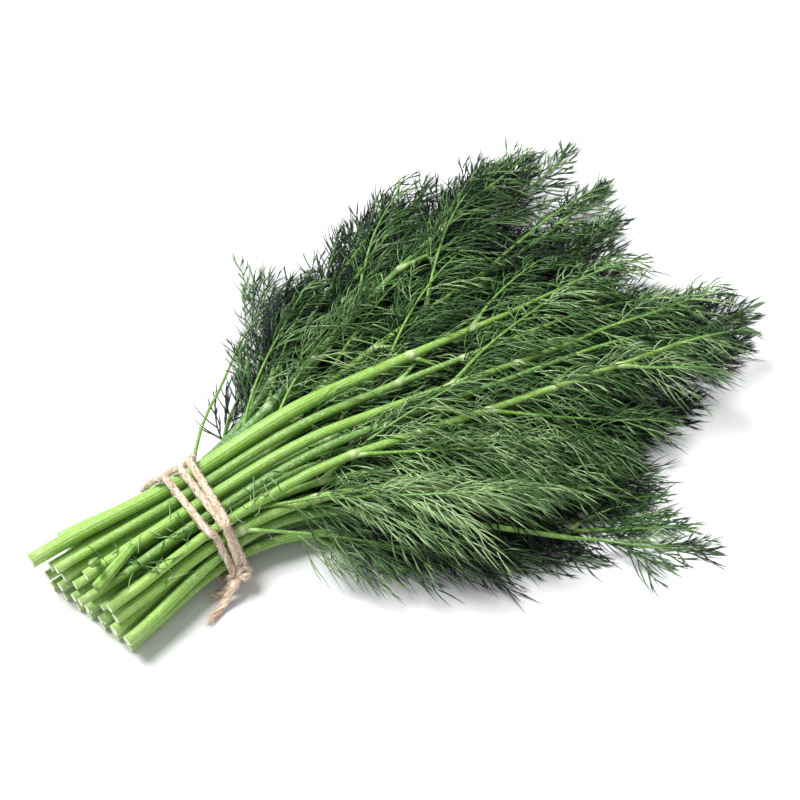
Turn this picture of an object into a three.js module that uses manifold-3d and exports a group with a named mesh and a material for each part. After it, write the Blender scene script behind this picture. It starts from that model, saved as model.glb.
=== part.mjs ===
// A bunch of fresh dill lying on a surface, tied with jute twine near its cut ends.
// Millimetres, +Z up, +X from the cut ends to the frond tips. The origin is under the middle of the bunch.
// Each leafy stem is one solid: a stalk with its leaves, whose thread leaflets are raised from the faces
// of slim leaf stalks. The twine is one more solid: three turns, a knot and two short ends.

import * as THREE from "three";
import { mergeVertices } from "three/addons/utils/BufferGeometryUtils.js";
import Module from "manifold-3d";

const wasm = await Module();
wasm.setup();

// The tie, placed so that the origin is under the middle of the bunch, and the stems where they pass through it
const TIE_X = -87.5;
const TIE_Y = 9.8;
const STEM_PITCH = 5.4;
const TOP_PITCH = 6.6;
const ROW_STEP = 4.7;
const TOP_ROW_STEP = 5.9;
const THIN_STEM = 1.6;
const THICK_STEM = 2.4;
const TOP_STEM_RADII = [2.0, 1.8, 2.3, 1.9, 3.0];
const LOWEST_STEM = 5.7;
const STEM_TIP_RADIUS = 0.85;
const STEM_SIDES = 6;
const FLAT_TO_AXIS = Math.cos(Math.PI / STEM_SIDES);

// The stems below the tie, down to the cut ends
const CUT_LENGTH = 58;
const CUT_LENGTH_SPREAD = 8;
const LONGEST_CUT = 70;
const CUT_FLARE = 0.32;
const CUT_ROW_STEP = 5.1;
const CUT_SHIFT = 1.0;
const PAST_TIE = -16;

// Rows of stems from the surface up: how many, the heading of the middle one and how far they fan to each
// side of it in degrees, how high they run in the middle of the bunch and at their tips, and the stretch
// past the tie that is bare of leaves at the back and at the front, and how far their cut ends lean aside
const ROWS = [
  { stems: 8, heading: 0, fan: 40, middle: 0.6, tip: 0.6, bare: [12, 26], sway: -5 },
  { stems: 9, heading: -1, fan: 34.5, middle: 10, tip: 6, bare: [14, 30], sway: -1 },
  { stems: 8, heading: -2, fan: 29, middle: 18, tip: 10, bare: [18, 22], sway: -6 },
  { stems: 7, heading: -4, fan: 20, middle: 25.5, tip: 17, bare: [36, 10], sway: -2 },
  { stems: 5, heading: -6, fan: 3.5, middle: 32.5, tip: 29, bare: [98, 54], sway: -2 },
];
const FAN_JITTER = 1.2;
const FAN_EASE = 60;
const FAN_POWER = 1.5;
const CLIMB = 62;
const HEIGHT_JITTER = [-0.8, 0.8];
const TOP_HEIGHT_JITTER = [-0.5, 2.5];
const BARE_JITTER = 12;
const STEM_STATIONS = [0.12, 0.27, 0.45, 0.65, 0.82, 1];

// The outline of the bunch seen from above: headings from the tie in degrees, and how far the tips reach there
const OUTLINE = [
  [-65, 22], [-48, 60], [-44, 86], [-40, 116], [-38, 158], [-36, 204], [-32, 196], [-28, 182],
  [-20, 188], [-15, 228], [-8, 254], [-1, 214], [6, 224], [12, 238], [18, 243], [22, 230],
  [25, 212], [29, 196], [33, 176], [38, 130], [46, 94], [52, 70], [58, 54], [64, 40],
];
const LONGEST_STEM = 260;
const TIP_LEAF_ROOM = 34;
const SHORTEST_SHARE = 0.72;

// Leaves
const LEAF_SPACING = 29;
const LEAVES_PER_STEM = 5;
const LAST_LEAF_ROOM = 12;
const TIP_LEAF_SUNK = 3;
const LONGEST_LEAF = 92;
const SHORTEST_LEAF = 42;
const SIDE_LEAF_SHARE = 0.7;
const LEAF_ROLL = [48, 118];
const TOP_LEAF_ROLL = [68, 118];
const SIDE_LEAF_SPREAD = [24, 50];
const TIP_LEAF_SPREAD = [0, 14];
const LEAF_DROOP = [0.02, 0.13];
const LEAF_STEPS = 6;
const LEAF_RADIUS = 0.7;
const LEAF_TIP_RADIUS = 0.32;
const LEAF_BARE = 0.24;
const LEAF_TURNS_BACK = 0.14;
const LEAF_CLEAR = 0.5;
const LEAF_TRIES = 60;
const LEAF_SHRINKS = 0.5;
const FLOOR_CLEAR = 1.0;

// The one leaf close to the tie whose long stalk crosses the stems at the front
const CROSSING_LEAF = { row: 3, slot: 0, s: 8, heading: -37, rise: 4, droop: 0.09, length: 108 };

// Thread leaflets, in whorls of one for each side of the leaf stalk
const STATIONS = 3;
const LAST_STATION = 0.8;
const LEAFLET_LENGTHS = [18, 24, 16];
const LEAFLET_SIDES = 3;
const LEAFLET_ROOT = 1.2;
const LEAFLET_RADIUS = 0.4;
const LEAFLET_CLEAR = 0.35;
const LEAFLET_TRIES = 24;
const LEAFLET_SHRINKS = 0.55;
const LEAFLET_OPENING = [28, 66];
const LEAFLET_SWAY = 0.35;
const LOWEST_TIP = 0.2;

// Twine: where each half turn starts and ends along the stems, and how far the last one crosses above the others
const TWINE_RADIUS = 1.4;
const TWINE_GAP = 0.4;
const TWINE_SIDES = 6;
const TWINE_CORNERS = 16;
const TIE_STATIONS = [-14, 0, 8];
const TOP_TURNS = [
  [-13, -2.7, 0],
  [-4, 2.7, 0],
  [7, 0, 2.4],
];
const BOTTOM_TURNS = [
  [-2.7, -13],
  [0, -4],
  [2.7, 7],
];
const KNOT_X = 1;
const KNOT_RADIUS = 2.2;
const KNOT_SIDES = 10;
const KNOT_LOOPS = [
  [0, 0.3],
  [1.3, -0.4],
];
const TWINE_ENDS = [
  [19, 7],
  [12, -1],
];

// Random draws
const FIRST_SEED = 7001;
const SEED_STEP = 977;
const SKIPPED_DRAWS = 4;

// Colours
const LEAF_GREEN = "#3f6b34";
const STALK_GREEN = "#7fb53f";
const JUTE = "#cba67f";

const UP = new THREE.Vector3(0, 0, 1);
const rad = THREE.MathUtils.degToRad;
const smooth = (t) => THREE.MathUtils.smoothstep(t, 0, 1);

// A repeatable stream of numbers from 0 to 1
class Draw {
  // The first few numbers of neighbouring seeds are alike, so they are skipped
  constructor(seed) {
    this.state = seed >>> 0;
    for (let i = 0; i < SKIPPED_DRAWS; i++) this.next();
  }
  next() {
    this.state = (Math.imul(this.state, 1664525) + 1013904223) >>> 0;
    return this.state / 4294967296;
  }
  between(low, high) {
    return low + (high - low) * this.next();
  }
}

// How far the bunch reaches from the tie in a direction given in degrees
function reachAt(heading) {
  const last = OUTLINE.length - 1;
  if (heading <= OUTLINE[0][0]) return OUTLINE[0][1];
  if (heading >= OUTLINE[last][0]) return OUTLINE[last][1];
  const i = OUTLINE.findIndex(([angle]) => angle > heading);
  const [[a, near], [b, far]] = [OUTLINE[i - 1], OUTLINE[i]];
  return near + ((far - near) * (heading - a)) / (b - a);
}

function isInOutline(p) {
  const [x, y] = [p.x - TIE_X, p.y - TIE_Y];
  return Math.hypot(x, y) < reachAt(THREE.MathUtils.radToDeg(Math.atan2(y, x)));
}

// One stalk of the bunch: a line measured by s, the distance past the tie, negative towards the cut end
class Stalk {
  constructor(row, slot, number) {
    const draw = new Draw(FIRST_SEED + SEED_STEP * number);
    const { stems, heading, fan, middle, tip, bare, sway } = ROWS[row];
    const onTop = row === ROWS.length - 1;
    const share = (2 * slot) / (stems - 1) - 1;
    this.row = row;
    this.slot = slot;
    this.number = number;
    this.draw = draw;
    this.onTop = onTop;
    this.radius = onTop ? TOP_STEM_RADII[slot] : draw.between(THIN_STEM, THICK_STEM);
    this.tieY = (slot - (stems - 1) / 2) * (onTop ? TOP_PITCH : STEM_PITCH);
    this.tieZ = LOWEST_STEM + row * ROW_STEP + (onTop ? TOP_ROW_STEP - ROW_STEP : 0);
    this.heading = heading + fan * share + draw.between(-FAN_JITTER, FAN_JITTER);
    this.cutLength = CUT_LENGTH + draw.between(-CUT_LENGTH_SPREAD, CUT_LENGTH_SPREAD);
    if (onTop && slot === stems - 1) this.cutLength = LONGEST_CUT;
    this.cutShift = sway + draw.between(-CUT_SHIFT, CUT_SHIFT);
    this.leaving = -Math.atan(this.cutShift / CUT_LENGTH);
    this.middle = middle + draw.between(...(onTop ? TOP_HEIGHT_JITTER : HEIGHT_JITTER));
    this.tip = tip;
    this.bare = THREE.MathUtils.lerp(bare[1], bare[0], (share + 1) / 2) + draw.between(0, BARE_JITTER);
    // A first length, so that the line can be followed to where it leaves the outline
    this.length = LONGEST_STEM;
    this.length = (this.roomFrom(this.bare) - TIP_LEAF_ROOM) * draw.between(SHORTEST_SHARE, 1);
  }

  // The distance past the tie at which the stalk would leave the outline of the bunch
  roomFrom(s) {
    let out = s;
    while (out < LONGEST_STEM && isInOutline(this.at(out))) out += 2;
    return out;
  }

  radiusAt(s) {
    const start = this.bare * 0.5;
    const taper = THREE.MathUtils.clamp((s - start) / (this.length - start), 0, 1);
    return this.radius + (STEM_TIP_RADIUS - this.radius) * taper;
  }

  at(s) {
    let x, y, z;
    if (s < 0) {
      const share = -s / CUT_LENGTH;
      x = TIE_X + s;
      y = TIE_Y + this.tieY * (1 + CUT_FLARE * smooth(share)) + this.cutShift * share;
      z = this.tieZ + (this.row * CUT_ROW_STEP + THICK_STEM - this.tieZ) * smooth(share);
    } else {
      const eased = 1 - Math.exp(-((s / FAN_EASE) ** FAN_POWER));
      const heading = this.leaving + (rad(this.heading) - this.leaving) * eased;
      x = TIE_X + s * Math.cos(heading);
      y = TIE_Y + this.tieY + s * Math.sin(heading);
      const past = Math.max(0, s - CLIMB) / Math.max(1, this.length - CLIMB);
      z = this.tieZ + (this.middle - this.tieZ) * smooth(s / CLIMB) + (this.tip - this.middle) * past ** 2;
    }
    return new THREE.Vector3(x, y, Math.max(z, this.radiusAt(s) * FLAT_TO_AXIS));
  }

  directionAt(s) {
    return this.at(s + 0.5).sub(this.at(s - 0.5)).normalize();
  }

  stations() {
    return [-this.cutLength, PAST_TIE, 0, ...STEM_STATIONS.map((t) => t * this.length)];
  }
}

// Distance between two straight stretches
function distance(a, b) {
  const d1 = b[0].clone().sub(b[1]).negate();
  const d2 = a[1].clone().sub(a[0]);
  const r = a[0].clone().sub(b[0]);
  const aa = d2.dot(d2);
  const ee = d1.dot(d1);
  const f = d1.dot(r);
  const c = d2.dot(r);
  const m = d2.dot(d1);
  const denominator = aa * ee - m * m;
  let s = denominator > 1e-9 ? THREE.MathUtils.clamp((m * f - c * ee) / denominator, 0, 1) : 0;
  let t = (m * s + f) / ee;
  if (t < 0 || t > 1) {
    t = THREE.MathUtils.clamp(t, 0, 1);
    s = THREE.MathUtils.clamp((m * t - c) / aa, 0, 1);
  }
  return r.addScaledVector(d2, s).addScaledVector(d1, -t).length();
}

// Everything placed so far, as straight stretches with a radius and an owner
const placed = [];

function place(points, radii, owner) {
  for (let i = 0; i + 1 < points.length; i++) {
    const radius = Math.max(radii[i], radii[i + 1]);
    const middle = points[i].clone().add(points[i + 1]).multiplyScalar(0.5);
    const reach = points[i].distanceTo(points[i + 1]) / 2 + radius;
    placed.push({ ends: [points[i], points[i + 1]], radius, owner, middle, reach });
  }
}

function isClear(ends, radius, gap, skips) {
  const middle = ends[0].clone().add(ends[1]).multiplyScalar(0.5);
  const reach = ends[0].distanceTo(ends[1]) / 2 + radius;
  return placed.every(
    (p) =>
      skips.includes(p.owner) ||
      p.middle.distanceTo(middle) > p.reach + reach + gap ||
      distance(ends, p.ends) > p.radius + radius + gap,
  );
}

// The line of a leaf's own stalk, which droops and turns towards ahead on its way
function leafLine(start, heading, ahead, droop, length) {
  const points = [start];
  for (let k = 0; k < LEAF_STEPS; k++) {
    heading.addScaledVector(ahead, LEAF_TURNS_BACK);
    heading.z -= droop;
    heading.normalize();
    const next = points[k].clone().addScaledVector(heading, length / LEAF_STEPS);
    next.z = Math.max(next.z, FLOOR_CLEAR);
    points.push(next);
  }
  return points;
}

// A leaf, tried in new directions until it is clear of everything placed before it
function growLeaf(stalk, s, side, longest) {
  const draw = stalk.draw;
  const owner = "stalk " + stalk.number;
  for (let n = 0; n < LEAF_TRIES; n++) {
    const roll = rad(draw.between(...(stalk.onTop ? TOP_LEAF_ROLL : LEAF_ROLL)));
    const spread = rad(draw.between(...(side ? SIDE_LEAF_SPREAD : TIP_LEAF_SPREAD)));
    const droop = draw.between(...LEAF_DROOP);
    const length = longest * draw.between(0.85, 1) * (1 - (LEAF_SHRINKS * n) / LEAF_TRIES);
    const ahead = stalk.directionAt(s);
    const left = UP.clone().cross(ahead).normalize();
    const out = left.multiplyScalar((side || 1) * Math.sin(roll)).addScaledVector(UP, Math.cos(roll));
    const heading = ahead.clone().multiplyScalar(Math.cos(spread)).addScaledVector(out, Math.sin(spread));
    const points = leafLine(stalk.at(s), heading, ahead, droop, length);
    const clear = points.slice(1).every((p, k) =>
      isClear([points[k], p], LEAF_RADIUS, LEAF_CLEAR, k === 0 ? [owner] : []),
    );
    if (clear && isInOutline(points[LEAF_STEPS])) return { points, length };
  }
  return null;
}

// A point at share t of a line of points, and the direction there
function along(points, t) {
  const place = Math.min(t, 0.99999) * (points.length - 1);
  const i = Math.floor(place);
  const ahead = points[i + 1].clone().sub(points[i]).normalize();
  return { point: points[i].clone().lerp(points[i + 1], place - i), ahead };
}

// A closed rod bent along points, with a ring of corners at each. across is a direction that it never takes,
// and point is where the rod comes to a point past its last ring.
function rod(points, radii, sides, turn = 0, across = UP, point = null) {
  const bands = points.length - 1;
  const geometry = new THREE.CylinderGeometry(1, 1, bands, sides, bands, false, turn);
  const position = geometry.getAttribute("position");
  const frames = points.map((p, i) => {
    const before = points[Math.max(0, i - 1)];
    const ahead = points[Math.min(bands, i + 1)].clone().sub(before).normalize();
    const side = across.clone().cross(ahead).normalize();
    return { side, top: ahead.cross(side) };
  });
  for (let i = 0; i < position.count; i++) {
    const ring = Math.round(bands / 2 - position.getY(i));
    const [x, z] = [position.getX(i), position.getZ(i)];
    const { side, top } = frames[ring];
    const v = points[ring].clone();
    if (point && ring === bands && x === 0 && z === 0) v.copy(point);
    v.addScaledVector(side, radii[ring] * x).addScaledVector(top, radii[ring] * z);
    position.setXYZ(i, v.x, v.y, v.z);
  }
  return geometry;
}

// The corners of the face of a rod between ring and ring + 1 on one of its sides
function faceOf(geometry, bands, side, ring) {
  const i = 6 * (side * bands + ring);
  const index = geometry.index.array;
  return [index[i], index[i + 1], index[i + 4], index[i + 2]];
}

// Replaces faces of a rod by long pyramids with their points at tips
function raise(geometry, bands, leaflets) {
  const index = Array.from(geometry.index.array);
  const position = Array.from(geometry.getAttribute("position").array);
  for (const { side, ring, tip } of leaflets) {
    const [a, b, c, d] = faceOf(geometry, bands, side, ring);
    const t = position.length / 3;
    position.push(tip.x, tip.y, tip.z);
    index.splice(6 * (side * bands + ring), 6, a, b, t, b, c, t);
    index.push(c, d, t, d, a, t);
  }
  const raised = new THREE.BufferGeometry();
  raised.setAttribute("position", new THREE.Float32BufferAttribute(position, 3));
  raised.setIndex(index);
  return raised;
}

function solidOf(geometry) {
  const bare = new THREE.BufferGeometry();
  bare.setAttribute("position", geometry.getAttribute("position"));
  bare.setIndex(geometry.index);
  const merged = mergeVertices(bare, 1e-4);
  return new wasm.Manifold(
    new wasm.Mesh({
      numProp: 3,
      vertProperties: merged.getAttribute("position").array,
      triVerts: new Uint32Array(merged.index.array),
    }),
  );
}

// The solid in one piece, with any sealed hollow filled and any loose scrap dropped
function whole(solid) {
  return solid.decompose().reduce((a, b) => (b.volume() > a.volume() ? b : a));
}

function geometryOf(solid) {
  const mesh = solid.getMesh();
  const geometry = new THREE.BufferGeometry();
  geometry.setAttribute("position", new THREE.BufferAttribute(mesh.vertProperties, 3));
  geometry.setIndex(new THREE.BufferAttribute(mesh.triVerts, 1));
  geometry.computeVertexNormals();
  return geometry;
}

// The tip of one leaflet, in a direction that is clear of everything placed so far, or null
function leafletTip(draw, root, ahead, outward, longest, owners) {
  for (let n = 0; n < LEAFLET_TRIES; n++) {
    const open = rad(draw.between(...LEAFLET_OPENING));
    const length = longest * draw.between(0.7, 1) * (1 - (LEAFLET_SHRINKS * n) / LEAFLET_TRIES);
    const sway = draw.between(-LEAFLET_SWAY, LEAFLET_SWAY) * length;
    const tip = root
      .clone()
      .addScaledVector(ahead, length * Math.cos(open))
      .addScaledVector(outward, length * Math.sin(open))
      .addScaledVector(ahead.clone().cross(outward), sway);
    tip.z = Math.max(tip.z, LOWEST_TIP);
    if (isClear([root, tip], LEAFLET_RADIUS, LEAFLET_CLEAR, owners)) return tip;
  }
  return null;
}

// One leaf as a closed rod that comes to a point, with a whorl of leaflets at every station
function frond(leaf, draw) {
  const rings = [0];
  const half = LEAFLET_ROOT / 2 / leaf.length;
  for (let k = 0; k < STATIONS; k++) {
    const t = LEAF_BARE + ((LAST_STATION - LEAF_BARE) * k) / (STATIONS - 1);
    rings.push(t - half, t + half);
  }
  const points = rings.map((t) => along(leaf.points, t).point);
  const radii = rings.map((t) => LEAF_RADIUS + (LEAF_TIP_RADIUS - LEAF_RADIUS) * t);
  const bands = rings.length - 1;
  const geometry = rod(points, radii, LEAFLET_SIDES, 0, UP, leaf.points[LEAF_STEPS]);
  const leaflets = [];
  const position = geometry.getAttribute("position");
  const corner = (i) => new THREE.Vector3().fromBufferAttribute(position, i);
  for (let k = 0; k < STATIONS; k++) {
    const ring = 2 * k + 1;
    const whorl = leaf.owner + ", leaflets " + k;
    const longest = LEAFLET_LENGTHS[k];
    for (let side = 0; side < LEAFLET_SIDES; side++) {
      const [a, b, c, d] = faceOf(geometry, bands, side, ring).map(corner);
      const root = a.clone().add(b).add(c).add(d).multiplyScalar(0.25);
      const outward = b.sub(a).cross(d.sub(a)).normalize();
      const { ahead } = along(leaf.points, rings[ring]);
      const tip = leafletTip(draw, root, ahead, outward, longest, [leaf.owner, whorl]);
      if (!tip) continue;
      leaflets.push({ side, ring, tip });
      place([root, tip], [LEAFLET_RADIUS, LEAFLET_RADIUS], whorl);
    }
  }
  return raise(geometry, bands, leaflets);
}

// The stalks, row by row from the surface up
const stalks = [];
ROWS.forEach(({ stems }, row) => {
  for (let slot = 0; slot < stems; slot++) stalks.push(new Stalk(row, slot, stalks.length + 1));
});
for (const stalk of stalks) {
  const stations = stalk.stations();
  place(
    stations.map((s) => stalk.at(s)),
    stations.map((s) => stalk.radiusAt(s)),
    "stalk " + stalk.number,
  );
}

const leaves = new Map(stalks.map((stalk) => [stalk, []]));

// Keeps a leaf with its stalk, and its place for the clearances of the next ones
function addLeaf(stalk, leaf, name) {
  leaf.owner = name + " of " + stalk.number;
  leaves.get(stalk).push(leaf);
  place(leaf.points, leaf.points.map(() => LEAF_RADIUS), leaf.owner);
}

// The leaf close to the tie, whose stalk runs level across the stems beside it
function crossingLeaf(stalk) {
  const { s, heading, rise, droop, length } = CROSSING_LEAF;
  const ahead = new THREE.Vector3(1, 0, 0).applyEuler(new THREE.Euler(0, -rad(rise), rad(heading), "ZYX"));
  return { points: leafLine(stalk.at(s), ahead.clone(), ahead, droop, length), length };
}

const crossed = stalks.find(({ row, slot }) => row === CROSSING_LEAF.row && slot === CROSSING_LEAF.slot);
addLeaf(crossed, crossingLeaf(crossed), "crossing leaf");

// The lines of the other leaves, the one at each stalk's tip first
for (let order = 0; order <= LEAVES_PER_STEM; order++) {
  for (const stalk of stalks) {
    const s = order ? stalk.bare + (order - 1) * LEAF_SPACING : stalk.length - TIP_LEAF_SUNK;
    if (order && s > stalk.length - LAST_LEAF_ROOM) continue;
    const side = order ? ((order + stalk.number) % 2 ? 1 : -1) : 0;
    const room = (stalk.roomFrom(s) - s) * (order ? SIDE_LEAF_SHARE : 1);
    const longest = THREE.MathUtils.clamp(room, SHORTEST_LEAF, LONGEST_LEAF);
    const leaf = growLeaf(stalk, s, side, longest);
    if (leaf) addLeaf(stalk, leaf, "leaf " + order);
  }
}

// One solid for each leafy stem
function leafyStem(stalk) {
  const stations = stalk.stations();
  const body = rod(
    stations.map((s) => stalk.at(s)),
    stations.map((s) => stalk.radiusAt(s)),
    STEM_SIDES,
    Math.PI / STEM_SIDES,
  );
  const solids = [solidOf(body)];
  for (const leaf of leaves.get(stalk)) solids.push(solidOf(frond(leaf, stalk.draw)));
  return wasm.Manifold.union(solids);
}

// Corners of the line that the twine takes round the stems, one for each direction that it faces in turn
function roundTheStems() {
  const circles = [];
  for (const stalk of stalks) {
    for (const s of TIE_STATIONS) {
      const { y, z } = stalk.at(s);
      circles.push({ y, z, r: stalk.radius + TWINE_GAP + TWINE_RADIUS });
    }
  }
  const corners = [];
  for (let i = 0; i < TWINE_CORNERS; i++) {
    const angle = (i / TWINE_CORNERS) * 2 * Math.PI;
    const [ny, nz] = [Math.cos(angle), Math.sin(angle)];
    const far = (c) => c.y * ny + c.z * nz + c.r;
    const best = circles.reduce((a, c) => (far(c) > far(a) ? c : a));
    corners.push(new THREE.Vector3(0, best.y + best.r * ny, best.z + best.r * nz));
  }
  return corners;
}

// Half a turn of the twine, from corner number first, shifting along the stems as it goes
function halfTurn(corners, first, startX, endX, lift = 0) {
  const steps = TWINE_CORNERS / 2;
  const points = [];
  for (let i = 0; i <= steps; i++) {
    const t = i / steps;
    const p = corners[(first + i) % TWINE_CORNERS].clone();
    p.x = TIE_X + startX + (endX - startX) * smooth(t);
    p.z += lift * Math.sin(Math.PI * t) ** 2;
    points.push(p);
  }
  return points;
}

function twineRod(points, across) {
  return solidOf(rod(points, points.map(() => TWINE_RADIUS), TWINE_SIDES, 0, across));
}

function twine() {
  const corners = roundTheStems();
  const alongStems = new THREE.Vector3(1, 0, 0);
  const solids = [];
  TOP_TURNS.forEach(([back, front, lift]) =>
    solids.push(twineRod(halfTurn(corners, 0, back, front, lift), alongStems)),
  );
  BOTTOM_TURNS.forEach(([front, back]) =>
    solids.push(twineRod(halfTurn(corners, TWINE_CORNERS / 2, front, back), alongStems)),
  );
  const knot = corners[TWINE_CORNERS / 2].clone();
  knot.x = TIE_X + KNOT_X;
  knot.y -= TWINE_RADIUS;
  for (const [turnX, turnZ] of KNOT_LOOPS) {
    const loop = new THREE.TorusGeometry(KNOT_RADIUS, TWINE_RADIUS, TWINE_SIDES, KNOT_SIDES);
    loop.rotateX(turnX);
    loop.rotateZ(turnZ);
    loop.translate(knot.x, knot.y, knot.z);
    solids.push(solidOf(loop));
  }
  for (const [length, aside] of TWINE_ENDS) {
    const points = [0, 0.3, 0.65, 1].map((t) => {
      const drop = (knot.z - TWINE_RADIUS * 1.1) * smooth(Math.min(1, t * 1.3));
      return new THREE.Vector3(knot.x - length * t, knot.y - aside * t, knot.z - drop);
    });
    solids.push(twineRod(points, UP));
  }
  return wasm.Manifold.union(solids);
}

function node(name, solid, color, roughness) {
  const mesh = new THREE.Mesh(
    geometryOf(whole(solid)),
    new THREE.MeshStandardMaterial({ color, roughness, metalness: 0 }),
  );
  mesh.name = name;
  return mesh;
}

const bunch = new THREE.Group();
bunch.name = "dill_bunch";
for (const stalk of stalks) {
  const name = "leafy_stem_" + String(stalk.number).padStart(2, "0");
  const green = stalk.row === ROWS.length - 1 ? STALK_GREEN : LEAF_GREEN;
  bunch.add(node(name, leafyStem(stalk), green, 0.5));
}
bunch.add(node("twine_tie", twine(), JUTE, 0.9));

export default bunch;
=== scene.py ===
"""The looks of a bunch of fresh dill that lies on a surface, tied with jute twine near its cut ends."""

import logging
import math
from dataclasses import dataclass, field
from enum import Enum

import bpy
import numpy as np
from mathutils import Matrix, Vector


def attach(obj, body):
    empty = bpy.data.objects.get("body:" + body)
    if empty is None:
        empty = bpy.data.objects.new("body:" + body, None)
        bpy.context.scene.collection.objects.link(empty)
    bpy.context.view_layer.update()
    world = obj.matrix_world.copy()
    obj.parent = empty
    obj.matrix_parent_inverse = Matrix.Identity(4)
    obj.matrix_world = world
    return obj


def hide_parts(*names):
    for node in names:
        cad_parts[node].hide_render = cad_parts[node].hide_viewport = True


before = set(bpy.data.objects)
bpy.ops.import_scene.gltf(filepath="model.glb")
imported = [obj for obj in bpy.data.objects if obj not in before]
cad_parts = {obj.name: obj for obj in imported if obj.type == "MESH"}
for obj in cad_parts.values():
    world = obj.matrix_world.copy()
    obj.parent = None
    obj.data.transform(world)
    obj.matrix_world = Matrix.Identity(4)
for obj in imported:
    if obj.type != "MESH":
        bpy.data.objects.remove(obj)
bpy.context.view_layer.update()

LOG = logging.getLogger("dill_bunch")
BODY = "root"
MM = 0.001
UP = np.array([0.0, 0.0, 1.0])
THREAD_STEPS = (0.0, 0.34, 0.67, 1.0)


class Slot(Enum):
    """The finish slots of the record, one for the dill and one for the jute."""

    DILL = "dill"
    JUTE = "jute"


class Surface(Enum):
    """The material slots of a leafy stem's mesh, in their order."""

    STALK = 0
    THREAD = 1
    PITH = 2


def smooth(t: float) -> float:
    """Eases t from 0 to 1."""
    t = min(1.0, max(0.0, t))
    return t * t * (3 - 2 * t)


def unit(v: np.ndarray) -> np.ndarray:
    """Scales vectors along the last axis to length one."""
    return v / np.maximum(np.linalg.norm(v, axis=-1, keepdims=True), 1e-9)


def bump(away: np.ndarray, width: float) -> np.ndarray:
    """Gives 1 where away is 0, falling off smoothly to both sides over a width."""
    return np.exp(-((away / width) ** 2))


def raise_to(points: np.ndarray, low: float) -> None:
    """Lifts the points that lie lower than a height up to it."""
    points[..., 2] = np.maximum(points[..., 2], low)


class Draw:
    """A repeatable stream of numbers from 0 to 1, the same one that the solids were laid out with."""

    factor: int = 1664525
    step: int = 1013904223
    span: int = 2**32
    skipped: int = 4

    def __init__(self, seed: int) -> None:
        """Starts the stream, past its first few numbers.

        Args:
            seed: The whole number that the stream grows from.
        """
        self.state = seed
        for _ in range(self.skipped):
            self.next()

    def next(self) -> float:
        """Gives the next number from 0 to 1."""
        self.state = (self.state * self.factor + self.step) % self.span
        return self.state / self.span

    def between(self, low: float, high: float) -> float:
        """Gives the next number from low to high."""
        return low + (high - low) * self.next()


@dataclass(frozen=True)
class Row:
    """A row of stems at the tie: their number, their fan in degrees, their heights and bare stretch in mm."""

    stems: int
    heading: float
    fan: float
    middle: float
    tip: float
    bare: tuple[float, float]
    sway: float


@dataclass(frozen=True)
class Layout:
    """The sizes of the bunch in millimetres, as its solids have them."""

    tie_x: float = -87.5
    tie_y: float = 9.8
    stem_pitch: float = 5.4
    top_pitch: float = 6.6
    row_step: float = 4.7
    top_row_step: float = 5.9
    stem_radii: tuple[float, float] = (1.6, 2.4)
    top_radii: tuple[float, ...] = (2.0, 1.8, 2.3, 1.9, 3.0)
    lowest_stem: float = 5.7
    tip_radius: float = 0.85
    taper_from: float = 0.5
    flat_to_axis: float = math.cos(math.pi / 6)
    cut_length: float = 58.0
    cut_spread: float = 8.0
    longest_cut: float = 70.0
    cut_flare: float = 0.32
    cut_row_step: float = 5.1
    cut_shift: float = 1.0
    past_tie: float = -16.0
    rows: tuple[Row, ...] = (
        Row(8, 0, 40, 0.6, 0.6, (12, 26), -5),
        Row(9, -1, 34.5, 10, 6, (14, 30), -1),
        Row(8, -2, 29, 18, 10, (18, 22), -6),
        Row(7, -4, 20, 25.5, 17, (36, 10), -2),
        Row(5, -6, 3.5, 32.5, 29, (98, 54), -2),
    )
    fan_jitter: float = 1.2
    fan_ease: float = 60.0
    fan_power: float = 1.5
    climb: float = 62.0
    height_jitter: tuple[float, float] = (-0.8, 0.8)
    top_height_jitter: tuple[float, float] = (-0.5, 2.5)
    bare_jitter: float = 12.0
    stations: tuple[float, ...] = (0.12, 0.27, 0.45, 0.65, 0.82, 1.0)
    outline: tuple[tuple[float, float], ...] = (
        (-65, 22), (-48, 60), (-44, 86), (-40, 116), (-38, 158), (-36, 204), (-32, 196), (-28, 182),
        (-20, 188), (-15, 228), (-8, 254), (-1, 214), (6, 224), (12, 238), (18, 243), (22, 230),
        (25, 212), (29, 196), (33, 176), (38, 130), (46, 94), (52, 70), (58, 54), (64, 40),
    )
    longest_stem: float = 260.0
    tip_leaf_room: float = 34.0
    room_step: float = 2.0
    shortest_share: float = 0.72
    first_seed: int = 7001
    seed_step: int = 977

    def is_inside(self, x: float, y: float) -> bool:
        """Tells whether a point, seen from above, lies within the outline of the bunch."""
        dx, dy = x - self.tie_x, y - self.tie_y
        angles, reaches = zip(*self.outline)
        return math.hypot(dx, dy) < np.interp(math.degrees(math.atan2(dy, dx)), angles, reaches)


LAYOUT = Layout()


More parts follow.
